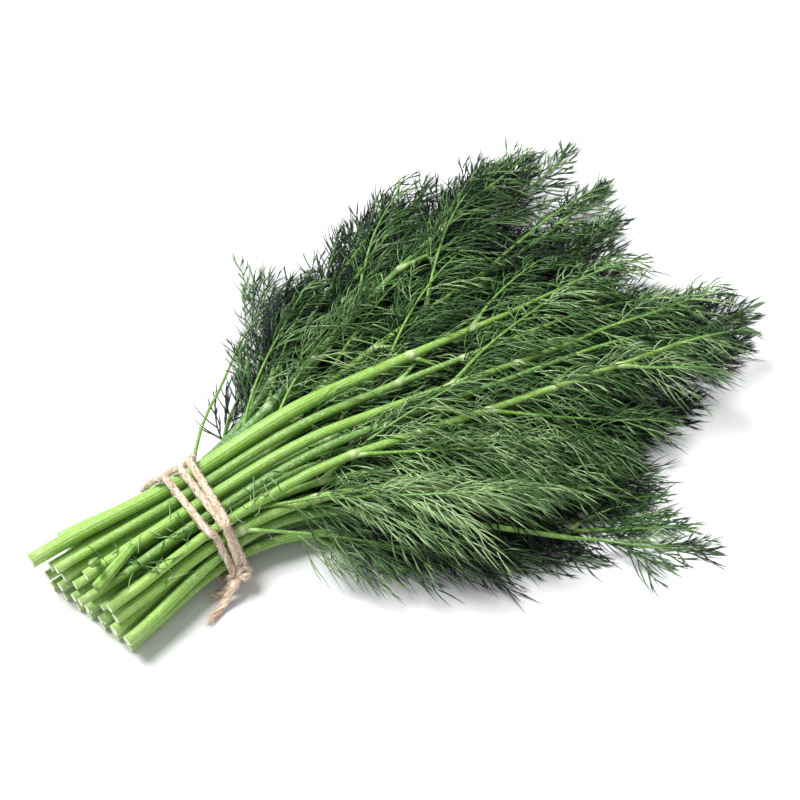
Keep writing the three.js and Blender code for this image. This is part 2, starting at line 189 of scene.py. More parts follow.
class Stalk:
    """The line of one stalk, measured by s, the distance past the tie, negative towards the cut end."""

    def __init__(self, row: int, slot: int, number: int) -> None:
        """Works out where the stalk runs.

        Args:
            row: Its row at the tie, from the surface up.
            slot: Its place in that row.
            number: Its number in the whole bunch, from 1.
        """
        lay, spec = LAYOUT, LAYOUT.rows[row]
        draw = Draw(lay.first_seed + lay.seed_step * number)
        self.row, self.slot, self.number, self.draw = row, slot, number, draw
        self.on_top = row == len(lay.rows) - 1
        self.is_rearmost = self.on_top and slot == spec.stems - 1
        share = 2 * slot / (spec.stems - 1) - 1
        self.radius = lay.top_radii[slot] if self.on_top else draw.between(*lay.stem_radii)
        self.tie_y = (slot - (spec.stems - 1) / 2) * (lay.top_pitch if self.on_top else lay.stem_pitch)
        lift = lay.top_row_step - lay.row_step if self.on_top else 0.0
        self.tie_z = lay.lowest_stem + row * lay.row_step + lift
        self.heading = spec.heading + spec.fan * share + draw.between(-lay.fan_jitter, lay.fan_jitter)
        self.cut_length = lay.cut_length + draw.between(-lay.cut_spread, lay.cut_spread)
        if self.is_rearmost:
            self.cut_length = lay.longest_cut
        self.cut_shift = spec.sway + draw.between(-lay.cut_shift, lay.cut_shift)
        self.leaving = -math.atan(self.cut_shift / lay.cut_length)
        jitter = lay.top_height_jitter if self.on_top else lay.height_jitter
        self.middle = spec.middle + draw.between(*jitter)
        self.tip = spec.tip
        back = (share + 1) / 2
        self.bare = spec.bare[1] + (spec.bare[0] - spec.bare[1]) * back + draw.between(0, lay.bare_jitter)
        self.length = lay.longest_stem
        room = self.room_from(self.bare) - lay.tip_leaf_room
        self.length = room * draw.between(lay.shortest_share, 1)

    def room_from(self, s: float) -> float:
        """Gives the distance past the tie at which the stalk would leave the outline."""
        while s < LAYOUT.longest_stem and LAYOUT.is_inside(*self.at(s)[:2]):
            s += LAYOUT.room_step
        return s

    def radius_at(self, s: float) -> float:
        """Gives the stalk's radius at s."""
        start = self.bare * LAYOUT.taper_from
        taper = min(1.0, max(0.0, (s - start) / (self.length - start)))
        return self.radius + (LAYOUT.tip_radius - self.radius) * taper

    def at(self, s: float) -> np.ndarray:
        """Gives the point of the stalk's axis at s."""
        lay = LAYOUT
        if s < 0:
            share = -s / lay.cut_length
            x = lay.tie_x + s
            y = lay.tie_y + self.tie_y * (1 + lay.cut_flare * smooth(share)) + self.cut_shift * share
            cut_z = self.row * lay.cut_row_step + lay.stem_radii[1]
            z = self.tie_z + (cut_z - self.tie_z) * smooth(share)
        else:
            eased = 1 - math.exp(-((s / lay.fan_ease) ** lay.fan_power))
            heading = self.leaving + (math.radians(self.heading) - self.leaving) * eased
            x = lay.tie_x + s * math.cos(heading)
            y = lay.tie_y + self.tie_y + s * math.sin(heading)
            past = max(0.0, s - lay.climb) / max(1.0, self.length - lay.climb)
            climb = (self.middle - self.tie_z) * smooth(s / lay.climb)
            z = self.tie_z + climb + (self.tip - self.middle) * past**2
        return np.array([x, y, max(z, self.radius_at(s) * lay.flat_to_axis)])

    def ahead(self, s: float) -> np.ndarray:
        """Gives the stalk's direction at s."""
        return unit(self.at(s + 0.5) - self.at(s - 0.5))


class Clearance:
    """Everything placed so far, as straight stretches with a radius and an owner."""

    search: float = 6.0
    parallel: float = 1e-9

    def __init__(self) -> None:
        """Starts empty."""
        self.starts: list[np.ndarray] = []
        self.ends: list[np.ndarray] = []
        self.radii: list[float] = []
        self.owners: list[int] = []
        self.packed: tuple[np.ndarray, ...] | None = None

    def place(self, points: np.ndarray, radii: list[float], owner: int) -> None:
        """Adds a line of stretches.

        Args:
            points: The line's points.
            radii: The radius at each point.
            owner: A number for what the line belongs to.
        """
        for i in range(len(points) - 1):
            self.starts.append(points[i])
            self.ends.append(points[i + 1])
            self.radii.append(max(radii[i], radii[i + 1]))
            self.owners.append(owner)
        self.packed = None

    def is_clear(self, line: np.ndarray, radius: float, gap: float, first_skips: int) -> bool:
        """Tells whether a line keeps a gap to all that is placed.

        Args:
            line: The line's points.
            radius: Its radius.
            gap: The least gap.
            first_skips: The owner that the first stretch may touch.

        Returns:
            True if every stretch is clear.
        """
        if self.packed is None:
            self.packed = tuple(np.array(a) for a in (self.starts, self.ends, self.radii, self.owners))
        a, b, radii, owners = self.packed
        low, high = line.min(0) - self.search, line.max(0) + self.search
        near = np.all((np.minimum(a, b) < high) & (np.maximum(a, b) > low), axis=1)
        a, b, radii, owners = a[near], b[near], radii[near], owners[near]
        d1 = b - a
        for k in range(len(line) - 1):
            d2 = line[k + 1] - line[k]
            r = line[k] - a
            aa, ee = d2 @ d2, np.einsum("ij,ij->i", d1, d1)
            f, c, m = np.einsum("ij,ij->i", d1, r), r @ d2, d1 @ d2
            denominator = aa * ee - m * m
            crosses = denominator > self.parallel
            safe = np.where(crosses, denominator, 1)
            s = np.where(crosses, np.clip((m * f - c * ee) / safe, 0, 1), 0)
            t = (m * s + f) / ee
            outside = (t < 0) | (t > 1)
            t = np.clip(t, 0, 1)
            s = np.where(outside, np.clip((m * t - c) / aa, 0, 1), s)
            apart = np.linalg.norm(r + s[:, None] * d2 - t[:, None] * d1, axis=1)
            touching = apart <= radii + radius + gap
            if k == 0:
                touching &= owners != first_skips
            if touching.any():
                return False
        return True


@dataclass
class Leaf:
    """The line of one leaf's own stalk, and where on its stem it grows."""

    points: np.ndarray
    length: float
    s: float
    side: int
    bare: float = 0.2


@dataclass(frozen=True)
class CrossingLeaf:
    """Where the leaf grows whose stalk crosses the stems at the front, in millimetres and degrees."""

    row: int = 3
    slot: int = 0
    s: float = 8.0
    heading: float = -37.0
    rise: float = 4.0
    droop: float = 0.09
    length: float = 108.0


@dataclass(frozen=True)
class SideLeaf:
    """The leaf at the back whose long bare stalk runs outside all the others. Points are from the tie."""

    stem: int = 25
    s: float = 6.0
    bare: float = 0.62
    points: tuple[tuple[float, float, float], ...] = (
        (21.0, 35.0, 19.0), (38.0, 48.5, 15.0), (52.0, 60.5, 11.0), (64.0, 69.5, 9.0), (74.0, 77.0, 8.0),
        (82.0, 84.0, 7.0),
    )

    def grow(self, stalk: Stalk) -> Leaf:
        """Gives the leaf, from its stalk on."""
        tie = np.array([LAYOUT.tie_x, LAYOUT.tie_y, 0.0])
        line = np.vstack([stalk.at(self.s), np.array(self.points) + tie])
        length = float(np.linalg.norm(np.diff(line, axis=0), axis=1).sum())
        return Leaf(line, length, self.s, 1, self.bare)


@dataclass(frozen=True)
class LeafRule:
    """How the leaves are placed on the stalks. Sizes in millimetres, angles in degrees."""

    spacing: float = 29.0
    per_stem: int = 5
    last_room: float = 12.0
    tip_sunk: float = 3.0
    longest: float = 92.0
    shortest: float = 42.0
    side_share: float = 0.7
    roll: tuple[float, float] = (48.0, 118.0)
    top_roll: tuple[float, float] = (68.0, 118.0)
    side_spread: tuple[float, float] = (24.0, 50.0)
    tip_spread: tuple[float, float] = (0.0, 14.0)
    droop: tuple[float, float] = (0.02, 0.13)
    steps: int = 6
    radius: float = 0.7
    turns_back: float = 0.14
    clear: float = 0.5
    tries: int = 60
    evenness: tuple[float, float] = (0.85, 1.0)
    shrinks: float = 0.5
    floor_clear: float = 1.0
    crossing: CrossingLeaf = CrossingLeaf()
    aside: SideLeaf = SideLeaf()

    def line(
        self, start: np.ndarray, heading: np.ndarray, ahead: np.ndarray, droop: float, length: float
    ) -> np.ndarray:
        """Gives the line of a leaf's own stalk.

        Args:
            start: Where it leaves the stem.
            heading: Its direction there.
            ahead: The direction that it turns towards on its way.
            droop: How much it droops at each step.
            length: Its length.

        Returns:
            The line's points.
        """
        points = [start]
        for _ in range(self.steps):
            heading = heading + ahead * self.turns_back
            heading[2] -= droop
            heading = unit(heading)
            following = points[-1] + heading * (length / self.steps)
            following[2] = max(following[2], self.floor_clear)
            points.append(following)
        return np.array(points)

    def cross(self, stalk: Stalk) -> Leaf:
        """Gives the one leaf close to the tie whose long stalk crosses the stems at the front."""
        turn, rise = math.radians(self.crossing.heading), math.radians(self.crossing.rise)
        level = math.cos(rise)
        ahead = np.array([math.cos(turn) * level, math.sin(turn) * level, math.sin(rise)])
        start = stalk.at(self.crossing.s)
        line = self.line(start, ahead, ahead, self.crossing.droop, self.crossing.length)
        return Leaf(line, self.crossing.length, self.crossing.s, -1)

    def grow(self, stalk: Stalk, s: float, side: int, longest: float, placed: Clearance) -> Leaf | None:
        """Tries directions until a leaf is clear of all that is placed.

        Args:
            stalk: The stalk that it grows on.
            s: Where on the stalk.
            side: 1 for left, -1 for right, 0 for the leaf at the stalk's tip.
            longest: The longest that it may be.
            placed: All that is placed so far.

        Returns:
            The leaf, or None where there is no room for one.
        """
        draw = stalk.draw
        for n in range(self.tries):
            roll = math.radians(draw.between(*(self.top_roll if stalk.on_top else self.roll)))
            spread = math.radians(draw.between(*(self.side_spread if side else self.tip_spread)))
            droop = draw.between(*self.droop)
            length = longest * draw.between(*self.evenness) * (1 - self.shrinks * n / self.tries)
            ahead = stalk.ahead(s)
            left = unit(np.cross(UP, ahead))
            out = left * ((side or 1) * math.sin(roll)) + UP * math.cos(roll)
            heading = ahead * math.cos(spread) + out * math.sin(spread)
            line = self.line(stalk.at(s), heading, ahead, droop, length)
            if not LAYOUT.is_inside(line[-1][0], line[-1][1]):
                continue
            if placed.is_clear(line, self.radius, self.clear, stalk.number):
                return Leaf(line, length, s, side)
        return None


class Arrangement:
    """All stalks of the bunch and the leaves on each."""

    def __init__(self) -> None:
        """Lays the stalks out row by row and grows their leaves, tip leaves first."""
        rows = LAYOUT.rows
        slots = [(row, slot) for row, spec in enumerate(rows) for slot in range(spec.stems)]
        self.stalks = [Stalk(row, slot, i + 1) for i, (row, slot) in enumerate(slots)]
        self.leaves: dict[int, list[Leaf]] = {stalk.number: [] for stalk in self.stalks}
        placed = Clearance()
        for stalk in self.stalks:
            stations = [-stalk.cut_length, LAYOUT.past_tie, 0, *(t * stalk.length for t in LAYOUT.stations)]
            points = np.array([stalk.at(s) for s in stations])
            placed.place(points, [stalk.radius_at(s) for s in stations], stalk.number)
        rule = LeafRule()
        number = slots.index((rule.crossing.row, rule.crossing.slot))
        self._add(self.stalks[number], rule.cross(self.stalks[number]), placed)
        for order in range(rule.per_stem + 1):
            for stalk in self.stalks:
                s = stalk.bare + (order - 1) * rule.spacing if order else stalk.length - rule.tip_sunk
                if order and s > stalk.length - rule.last_room:
                    continue
                side = (1 if (order + stalk.number) % 2 else -1) if order else 0
                room = (stalk.room_from(s) - s) * (rule.side_share if order else 1)
                longest = min(rule.longest, max(rule.shortest, room))
                leaf = rule.grow(stalk, s, side, longest, placed)
                if leaf:
                    self._add(stalk, leaf, placed)
        stalk = self.stalks[rule.aside.stem - 1]
        self._add(stalk, rule.aside.grow(stalk), placed)

    def _add(self, stalk: Stalk, leaf: Leaf, placed: Clearance) -> None:
        """Keeps a leaf of a stalk, and its place."""
        self.leaves[stalk.number].append(leaf)
        placed.place(leaf.points, [LeafRule.radius] * len(leaf.points), 0)


class Rod:
    """A straight rod modelled once from a primitive, to be laid along many lines.

    Ring k of the rod lies at height k, and its corners are on a circle of radius one.
    """

    rim: float = 0.2
    hollow: tuple[float, float] = (0.3, 0.2)
    on_axis: float = 1e-6
    on_rim: float = 0.99
    faces_down: float = -0.9

    def __init__(self, sides: int, rings: int, pointed: bool = False, cut: bool = False) -> None:
        """Models the rod.

        Args:
            sides: How many sides it has.
            rings: How many rings, both ends counted.
            pointed: Whether its far end is a point.
            cut: Whether its near end shows a rim round a hollowed pith.
        """
        bpy.ops.object.select_all(action="DESELECT")
        height = rings - 1
        bpy.ops.mesh.primitive_cone_add(
            vertices=sides, radius1=1, radius2=0 if pointed else 1, depth=height, location=(0, 0, height / 2)
        )
        self.rings = rings
        obj = bpy.context.object
        bpy.ops.object.transform_apply(location=True)
        self._cut_into_rings(obj, height)
        if cut:
            self._hollow_the_cut(obj)
        mesh = obj.data
        co = np.array([v.co for v in mesh.vertices])
        self.ring = np.clip(np.round(co[:, 2]), 0, height).astype(int)
        self.past = co[:, 2] - self.ring
        reach = np.linalg.norm(co[:, :2], axis=1, keepdims=True)
        inner = (self.ring == 0) & (reach[:, 0] < self.on_rim)
        on_side = ~inner & (reach[:, 0] > self.on_axis)
        outwards = co[:, :2] / np.maximum(reach, self.on_axis)
        self.section = np.where(on_side[:, None], outwards, co[:, :2])
        self.is_inner = inner
        self.faces = [list(p.vertices) for p in mesh.polygons]
        self.is_cut_face = np.array([inner[f].any() for f in self.faces])
        self.corner = np.round(np.arctan2(co[:, 1], co[:, 0]) / (2 * math.pi) * sides).astype(int)
        bpy.data.objects.remove(obj)
        bpy.data.meshes.remove(mesh)

    @staticmethod
    def _cut_into_rings(obj: bpy.types.Object, height: int) -> None:
        """Divides the edges that run along the rod.

        Args:
            obj: The rod.
            height: How many bands it is to have.
        """
        if height < 2:
            return
        bpy.ops.object.mode_set(mode="EDIT")
        bpy.ops.mesh.select_mode(type="EDGE")
        bpy.ops.mesh.select_all(action="DESELECT")
        bpy.ops.object.mode_set(mode="OBJECT")
        mesh = obj.data
        for edge in mesh.edges:
            a, b = (mesh.vertices[i].co.z for i in edge.vertices)
            edge.select = abs(a - b) > height / 2
        bpy.ops.object.mode_set(mode="EDIT")
        bpy.ops.mesh.subdivide(number_cuts=height - 1)
        bpy.ops.object.mode_set(mode="OBJECT")

    def _hollow_the_cut(self, obj: bpy.types.Object) -> None:
        """Insets the near end twice and sinks its middle, as a cut stalk's pith sinks."""
        bpy.ops.object.mode_set(mode="EDIT")
        bpy.ops.mesh.select_mode(type="FACE")
        bpy.ops.mesh.select_all(action="DESELECT")
        bpy.ops.object.mode_set(mode="OBJECT")
        for face in obj.data.polygons:
            face.select = face.normal.z < self.faces_down
        bpy.ops.object.mode_set(mode="EDIT")
        bpy.ops.mesh.inset(thickness=self.rim, depth=0)
        bpy.ops.mesh.inset(thickness=self.hollow[0], depth=-self.hollow[1])
        bpy.ops.object.mode_set(mode="OBJECT")

    def lay(self, lines: np.ndarray, radii: np.ndarray, across: np.ndarray = UP) -> np.ndarray:
        """Bends copies of the rod along lines.

        Args:
            lines: Points of each line, as copies by rings by 3.
            radii: The radius at each of them, as copies by rings.
            across: A direction that the lines never take.

        Returns:
            The vertices of all copies, as copies by vertices by 3.
        """
        ahead = unit(np.gradient(lines, axis=1))
        side = unit(np.cross(across, ahead))
        top = np.cross(ahead, side)
        r = radii[:, self.ring, None]
        return (
            lines[:, self.ring]
            + r * self.section[:, 0, None] * side[:, self.ring]
            + r * self.section[:, 1, None] * top[:, self.ring]
            + r * self.past[:, None] * ahead[:, self.ring]
        )


class MeshStock:
    """Collects laid rods and makes one mesh piece of them."""

    attributes: tuple[str, ...] = ("tone", "pale", "rib")

    def __init__(self) -> None:
        """Starts empty."""
        self.vertices: list[np.ndarray] = []
        self.corners: list[np.ndarray] = []
        self.sizes: list[np.ndarray] = []
        self.surfaces: list[np.ndarray] = []
        self.values: dict[str, list[np.ndarray]] = {name: [] for name in self.attributes}
        self.count = 0

    def add(self, rod: Rod, laid: np.ndarray, surface: int, **values: np.ndarray | float) -> None:
        """Adds copies of a rod.

        Args:
            rod: The rod that was laid.
            laid: Its copies' vertices.
            surface: The material slot of its faces.
            values: An attribute's value for each vertex of each copy, or one for all.
        """
        copies, per_copy = laid.shape[:2]
        raise_to(laid, 0.0)
        sizes = np.array([len(f) for f in rod.faces])
        corners = np.concatenate([np.array(f) for f in rod.faces])
        offsets = self.count + per_copy * np.arange(copies)
        self.vertices.append(laid.reshape(-1, 3))
        self.corners.append((corners[None, :] + offsets[:, None]).ravel())
        self.sizes.append(np.tile(sizes, copies))
        slots = np.where(rod.is_cut_face, Surface.PITH.value, surface)
        self.surfaces.append(np.tile(slots, copies))
        for name in self.attributes:
            value = np.broadcast_to(values.get(name, 0.0), (copies, per_copy))
            self.values[name].append(value.ravel())
        self.count += copies * per_copy

    def make(self, name: str, materials: list[bpy.types.Material]) -> bpy.types.Object:
        """Makes the piece, in metres.

        Args:
            name: The piece's name.
            materials: Its materials, in the order of their slots.

        Returns:
            The new object.
        """
        mesh = bpy.data.meshes.new(name)
        vertices = np.concatenate(self.vertices) * MM
        corners = np.concatenate(self.corners)
        sizes = np.concatenate(self.sizes)
        mesh.vertices.add(len(vertices))
        mesh.vertices.foreach_set("co", vertices.astype(np.float32).ravel())
        mesh.loops.add(len(corners))
        mesh.loops.foreach_set("vertex_index", corners.astype(np.int32))
        mesh.polygons.add(len(sizes))
        mesh.polygons.foreach_set("loop_start", (np.cumsum(sizes) - sizes).astype(np.int32))
        mesh.polygons.foreach_set("material_index", np.concatenate(self.surfaces).astype(np.int32))
        mesh.polygons.foreach_set("use_smooth", np.ones(len(sizes), dtype=bool))
        mesh.update(calc_edges=True)
        for key in self.attributes:
            layer = mesh.attributes.new(key, "FLOAT", "POINT")
            layer.data.foreach_set("value", np.concatenate(self.values[key]).astype(np.float32))
        for material in materials:
            mesh.materials.append(material)
        piece = bpy.data.objects.new(name, mesh)
        bpy.context.scene.collection.objects.link(piece)
        return piece


def curve_through(points: np.ndarray, count: int) -> np.ndarray:
    """Gives points evenly along a smooth curve through others.

    Args:
        points: The points that the curve passes through.
        count: How many points to give.

    Returns:
        The points of the curve.
    """
    padded = np.vstack([2 * points[0] - points[1], points, 2 * points[-1] - points[-2]])
    t = np.linspace(0, len(points) - 1 - 1e-6, count)
    i = t.astype(int)
    u = (t - i)[:, None]
    p0, p1, p2, p3 = (padded[i + k] for k in range(4))
    return 0.5 * (
        2 * p1 + (p2 - p0) * u + (2 * p0 - 5 * p1 + 4 * p2 - p3) * u**2 + (3 * p1 - p0 - 3 * p2 + p3) * u**3
    )


def curled(start: np.ndarray, size: np.ndarray, direction: np.ndarray, curl: np.ndarray) -> np.ndarray:
    """Gives the lines of many curled threads at once.

    Args:
        start: Where each starts.
        size: The length of each.
        direction: Its direction there.
        curl: Which way and how far it curls.

    Returns:
        Its points at THREAD_STEPS, as threads by points by 3.
    """
    return np.stack([start + size * u * (direction + curl * u**2) for u in THREAD_STEPS], 1)


class Canopy:
    """The height of the leafy top of the bunch over each patch of the floor, in millimetres. Threads deep
    under it get painted shade.
    """

    cell: float = 5.0
    spread: float = 11.0
    reach: float = 180.0
    above_line: float = 3.0
    falls_off: float = 0.35
    points_per_leaf: int = 14

    def __init__(self, leaves: list[Leaf]) -> None:
        """Finds the height over each patch.

        Args:
            leaves: All leaves of the bunch.
        """
        points = np.concatenate([curve_through(leaf.points, self.points_per_leaf) for leaf in leaves])
        count = int(2 * self.reach / self.cell) + 1
        ticks = np.linspace(-self.reach, self.reach, count)
        self.heights = np.zeros((count, count))
        for x, y, z in points:
            away = np.hypot(ticks[:, None] - x, ticks[None, :] - y) / self.spread
            raised = (z + self.above_line) * (away < 1) * (1 - self.falls_off * away**2)
            self.heights = np.maximum(self.heights, raised)

    def depth_of(self, points: np.ndarray) -> np.ndarray:
        """Gives how far points lie under the leafy top.

        Args:
            points: The points, one to a row.

        Returns:
            The depths.
        """
        at = np.clip((points[:, :2] + self.reach) / self.cell, 0, len(self.heights) - 1).round().astype(int)
        return np.maximum(0.0, self.heights[at[:, 0], at[:, 1]] - points[:, 2])


@dataclass
class Growth:
    """What the parts of one stem share while it is built: its random draws and the stock of its rods."""

    rng: np.random.Generator
    stock: MeshStock


@dataclass(frozen=True)
class FrondRule:
    """How a leaf divides into side branches and threads.

    Sizes are in millimetres, openings in degrees, turns and rolls in radians. The rest are shares and shades.
    """

    stalk_radius: float = 0.85
    stalk_taper: float = 0.7
    swelling: float = 0.8
    swelling_length: float = 5.0
    pale: float = 0.5
    pale_length: float = 2.4
    wander: float = 0.8
    wander_waves: tuple[float, float] = (2.0, 3.4)
    wander_upward: float = 0.4
    stalk_shade: tuple[float, float] = (0.55, 0.5)
    shade_by_tone: tuple[float, float] = (0.6, 0.5)
    tip_radius: float = 0.3
    lowest: float = 0.35
    turn: float = 0.4
    branch_spacing: float = 3.3
    fewest_branches: int = 5
    last_branch: float = 0.985
    branch_share: float = 0.42
    branch_lengths: tuple[float, float] = (13.0, 34.0)
    branch_evenness: tuple[float, float] = (0.75, 1.12)
    branch_shortens: float = 0.68
    fullness: tuple[float, float] = (0.45, 0.55)
    fullness_arc: tuple[float, float] = (0.18, 0.62)
    branch_opening: tuple[float, float] = (26.0, 50.0)
    branch_closes: float = 0.75
    branch_roll: float = 0.42
    branch_radius: float = 0.36
    branch_taper: float = 0.35
    branch_ahead: tuple[float, float] = (0.12, 0.5)
    branch_droop: float = 0.2
    branch_bow: float = 0.13
    branch_bend: float = 0.6
    branch_tone: float = 0.14
    vein_tone: float = 0.16
    sweep: tuple[float, float, float] = (0.08, -0.36, -0.15)
    sweep_height: float = 40.0
    branch_sweep: float = 2.0
    thread_sweep: float = 1.5
    thread_spacing: float = 2.4
    fewest_threads: int = 4
    thread_places: tuple[float, float] = (0.12, 0.97)
    thread_lengths: tuple[float, float] = (7.0, 16.0)
    thread_shortens: float = 0.4
    on_short_branch: float = 0.45
    full_branch: float = 26.0
    thread_opening: tuple[float, float] = (20.0, 46.0)
    thread_closes: float = 0.5
    thread_roll: float = 0.34
    thread_ahead: float = 0.5
    thread_droop: tuple[float, float] = (-0.08, 0.24)
    thread_unrest: float = 0.08
    thread_radius: float = 0.31
    thread_profile: tuple[float, ...] = (1.0, 0.95, 0.8, 0.0)
    thread_tone: float = 0.09
    tip_tone: float = 0.14
    bright_share: float = 0.14
    bright_tone: float = 0.26
    fork_share: float = 0.7
    fork_from: tuple[float, float] = (0.5, 1.0)
    fork_swing: tuple[float, float] = (0.26, 0.5)
    fork_size: tuple[float, float] = (0.45, 0.7)
    fork_curl: float = 0.6
    # Painted shade: how far a branch's colour deepens under the leafy top, and the depth in mm where it is at
    # its deepest.
    painted_shade_share: float = 0.75
    painted_shade_depth: float = 24.0


class FrondGrower:
    """Grows the fine branches and threads of leaves."""

    def __init__(self, rule: FrondRule, canopy: Canopy) -> None:
        """Models the rods that all fronds are made of.

        Args:
            rule: How a leaf divides.
            canopy: The leafy top of the bunch, under which the threads get painted shade: the deeper they
                lie, the darker their colour.
        """
        self.rule = rule
        self.canopy = canopy
        self.leaf_rod = Rod(6, 14)
        self.branch_rod = Rod(3, 6, pointed=True)
        self.thread_rod = Rod(3, len(THREAD_STEPS), pointed=True)

    def grow(self, leaf: Leaf, tone: float, growth: Growth) -> int:
        """Adds one leaf with all its threads.

        Args:
            leaf: The leaf's line.
            tone: Its shade of green, from 0, deep, to 1, light, with painted light in it.
            growth: The stem's draws and stock.

        Returns:
            How many threads it has.
        """
        rule, rng, rod = self.rule, growth.rng, self.leaf_rod
        line = curve_through(leaf.points, rod.rings)
        t = np.linspace(0, 1, len(line))
        wave = unit(rng.normal(0, 1, 3) * np.array([1, 1, rule.wander_upward]))
        swing = np.sin(math.pi * t * rng.uniform(*rule.wander_waves))
        line += rule.wander * swing[:, None] * t[:, None] * wave
        raise_to(line, rule.tip_radius)
        if leaf.side:
            swelling = rule.swelling * bump(t * leaf.length, rule.swelling_length)
            narrows = (rule.tip_radius - rule.stalk_radius) * t**rule.stalk_taper
            radii = rule.stalk_radius + swelling + narrows
            pale = bump(t * leaf.length, rule.pale_length) * rule.pale
        else:
            radii = LAYOUT.tip_radius + (rule.tip_radius - LAYOUT.tip_radius) * t
            pale = np.zeros(len(t))
        shade = rule.stalk_shade[0] - rule.stalk_shade[1] * t
        # The leaf's tone carries painted light, so the stalks of higher leaves are lighter.
        shade = shade * (rule.shade_by_tone[0] + rule.shade_by_tone[1] * tone)
        laid = rod.lay(line[None], radii[None])
        values = {"tone": shade[rod.ring][None], "pale": pale[rod.ring][None]}
        growth.stock.add(rod, laid, Surface.STALK.value, **values)
        shortest, longest = rule.branch_lengths
        longest = min(longest, max(shortest, leaf.length * rule.branch_share))
        return self.dress(leaf, line, longest, tone, growth)

    def dress(self, leaf: Leaf, line: np.ndarray, longest: float, tone: float, growth: Growth) -> int:
        """Adds the side branches along a line.

        Args:
            leaf: The leaf, or the stretch of a stalk.
            line: Its smooth line.
            longest: The length of its longest side branch.
            tone: Its shade of green, with painted light in it.
            growth: The stem's draws and stock.

        Returns:
            How many threads it has.
        """
        rule = self.rule
        threads = 0
        branches = max(rule.fewest_branches, int((1 - leaf.bare) * leaf.length / rule.branch_spacing))
        turn = growth.rng.uniform(-rule.turn, rule.turn)
        for k in range(branches + 1):
            share = k / branches
            side = 1 if k % 2 else -1
            place = (leaf.bare + (rule.last_branch - leaf.bare) * share) * (len(line) - 1)
            i = min(int(place), len(line) - 2)
            root = line[i] + (line[i + 1] - line[i]) * (place - i)
            ahead = unit(line[i + 1] - line[i])
            threads += self._branch(root, ahead, side, turn, share, longest, tone, growth)
        return threads

    def _branch(
        self, root: np.ndarray, ahead: np.ndarray, side: int, turn: float, share: float, longest: float,
        tone: float, growth: Growth,
    ) -> int:
        """Adds one side branch with its threads.

        Args:
            root: Where it starts.
            ahead: The direction of its stalk there.
            side: 1 for left, -1 for right.
            turn: How far the leaf's plane is turned, in radians.
            share: How far along the leafy stretch it is, from 0 to 1.
            longest: The length of the leaf's longest side branch.
            tone: The leaf's shade of green, with painted light in it.
            growth: The stem's draws and stock.

        Returns:
            How many threads it has.
        """
        rule, rng, rod = self.rule, growth.rng, self.branch_rod
        left = unit(np.cross(UP, ahead))
        top = np.cross(ahead, left)
        roll = turn * side + rng.normal(0, rule.branch_roll)
        out = left * side * math.cos(roll) + top * math.sin(roll)
        opening = math.radians(rng.uniform(*rule.branch_opening)) * (1 - rule.branch_closes * share**3)
        heading = ahead * math.cos(opening) + out * math.sin(opening)
        arc = math.sin(math.pi * min(1, rule.fullness_arc[0] + rule.fullness_arc[1] * share))
        fullness = rule.fullness[0] + rule.fullness[1] * arc
        length = longest * fullness * (1 - rule.branch_shortens * share) * rng.uniform(*rule.branch_evenness)
        bow = out * rng.normal(0, rule.branch_bow) + top * rng.normal(0, rule.branch_bow)
        droop = rng.uniform(*rule.branch_ahead) * ahead - UP * rng.uniform(0.0, rule.branch_droop)
        bend = droop + bow + rule.branch_sweep * self._sweep_at(root)
        # Painted shade: the deeper the branch's middle lies under the leafy top, the darker its colour.
        depth = float(self.canopy.depth_of((root + length * 0.5 * heading)[None])[0])
        tone = tone - rule.painted_shade_share * smooth(depth / rule.painted_shade_depth) + rng.normal(0, rule.branch_tone)
        u = np.linspace(0, 1, rod.rings)[:, None]
        path = root + length * (heading * u + bend * u**2 * rule.branch_bend)
        raise_to(path, rule.lowest)
        radii = rule.branch_radius * (1 - rule.branch_taper * u[:, 0]) * (u[:, 0] < 1)
        laid = rod.lay(path[None], radii[None])
        growth.stock.add(rod, laid, Surface.THREAD.value, tone=tone + rule.vein_tone)
        return self._threads(root, ahead, heading, bend, length, tone, growth)

    def _sweep_at(self, root: np.ndarray) -> np.ndarray:
        """Says how far a branch that starts at a point hangs over to the front."""
        return np.array(self.rule.sweep) * min(1.0, max(0.0, root[2]) / self.rule.sweep_height)

    def _threads(
        self, root: np.ndarray, ahead: np.ndarray, heading: np.ndarray, bend: np.ndarray, length: float,
        tone: float, growth: Growth,
    ) -> int:
        """Adds the threads of one side branch, with their forks.

        Args:
            root: Where the branch starts.
            ahead: The direction of its stalk there.
            heading: Its own direction there.
            bend: How it bends on the way.
            length: Its length.
            tone: Its shade of green, with painted light and painted shade in it.
            growth: The stem's draws and stock.

        Returns:
            How many threads it has.
        """
        rule, rng, rod = self.rule, growth.rng, self.thread_rod
        n = max(rule.fewest_threads, int(length / rule.thread_spacing))
        u = np.linspace(*rule.thread_places, n)[:, None]
        start = root + length * (heading * u + bend * u**2 * rule.branch_bend)
        along = unit(heading + bend * u * 2 * rule.branch_bend)
        normal = unit(np.cross(heading, ahead) + 1e-6)
        side = np.where(np.arange(n) % 2, 1.0, -1.0)[:, None]
        roll = rng.normal(0, rule.thread_roll, (n, 1))
        across = unit(np.cross(normal, along))
        out = across * side * np.cos(roll) + normal * np.sin(roll)
        opening = np.radians(rng.uniform(*rule.thread_opening, (n, 1))) * (1 - rule.thread_closes * u**2)
        direction = along * np.cos(opening) + out * np.sin(opening)
        size = rng.uniform(*rule.thread_lengths, (n, 1)) * (1 - rule.thread_shortens * u)
        size = size * min(1.0, rule.on_short_branch + length / rule.full_branch)
        curl = rule.thread_ahead * along - UP * rng.uniform(*rule.thread_droop, (n, 1))
        curl = curl + rng.normal(0, rule.thread_unrest, (n, 3)) + rule.thread_sweep * self._sweep_at(root)
        threads = curled(start, size, direction, curl)
        forks = rng.random(n) < rule.fork_share
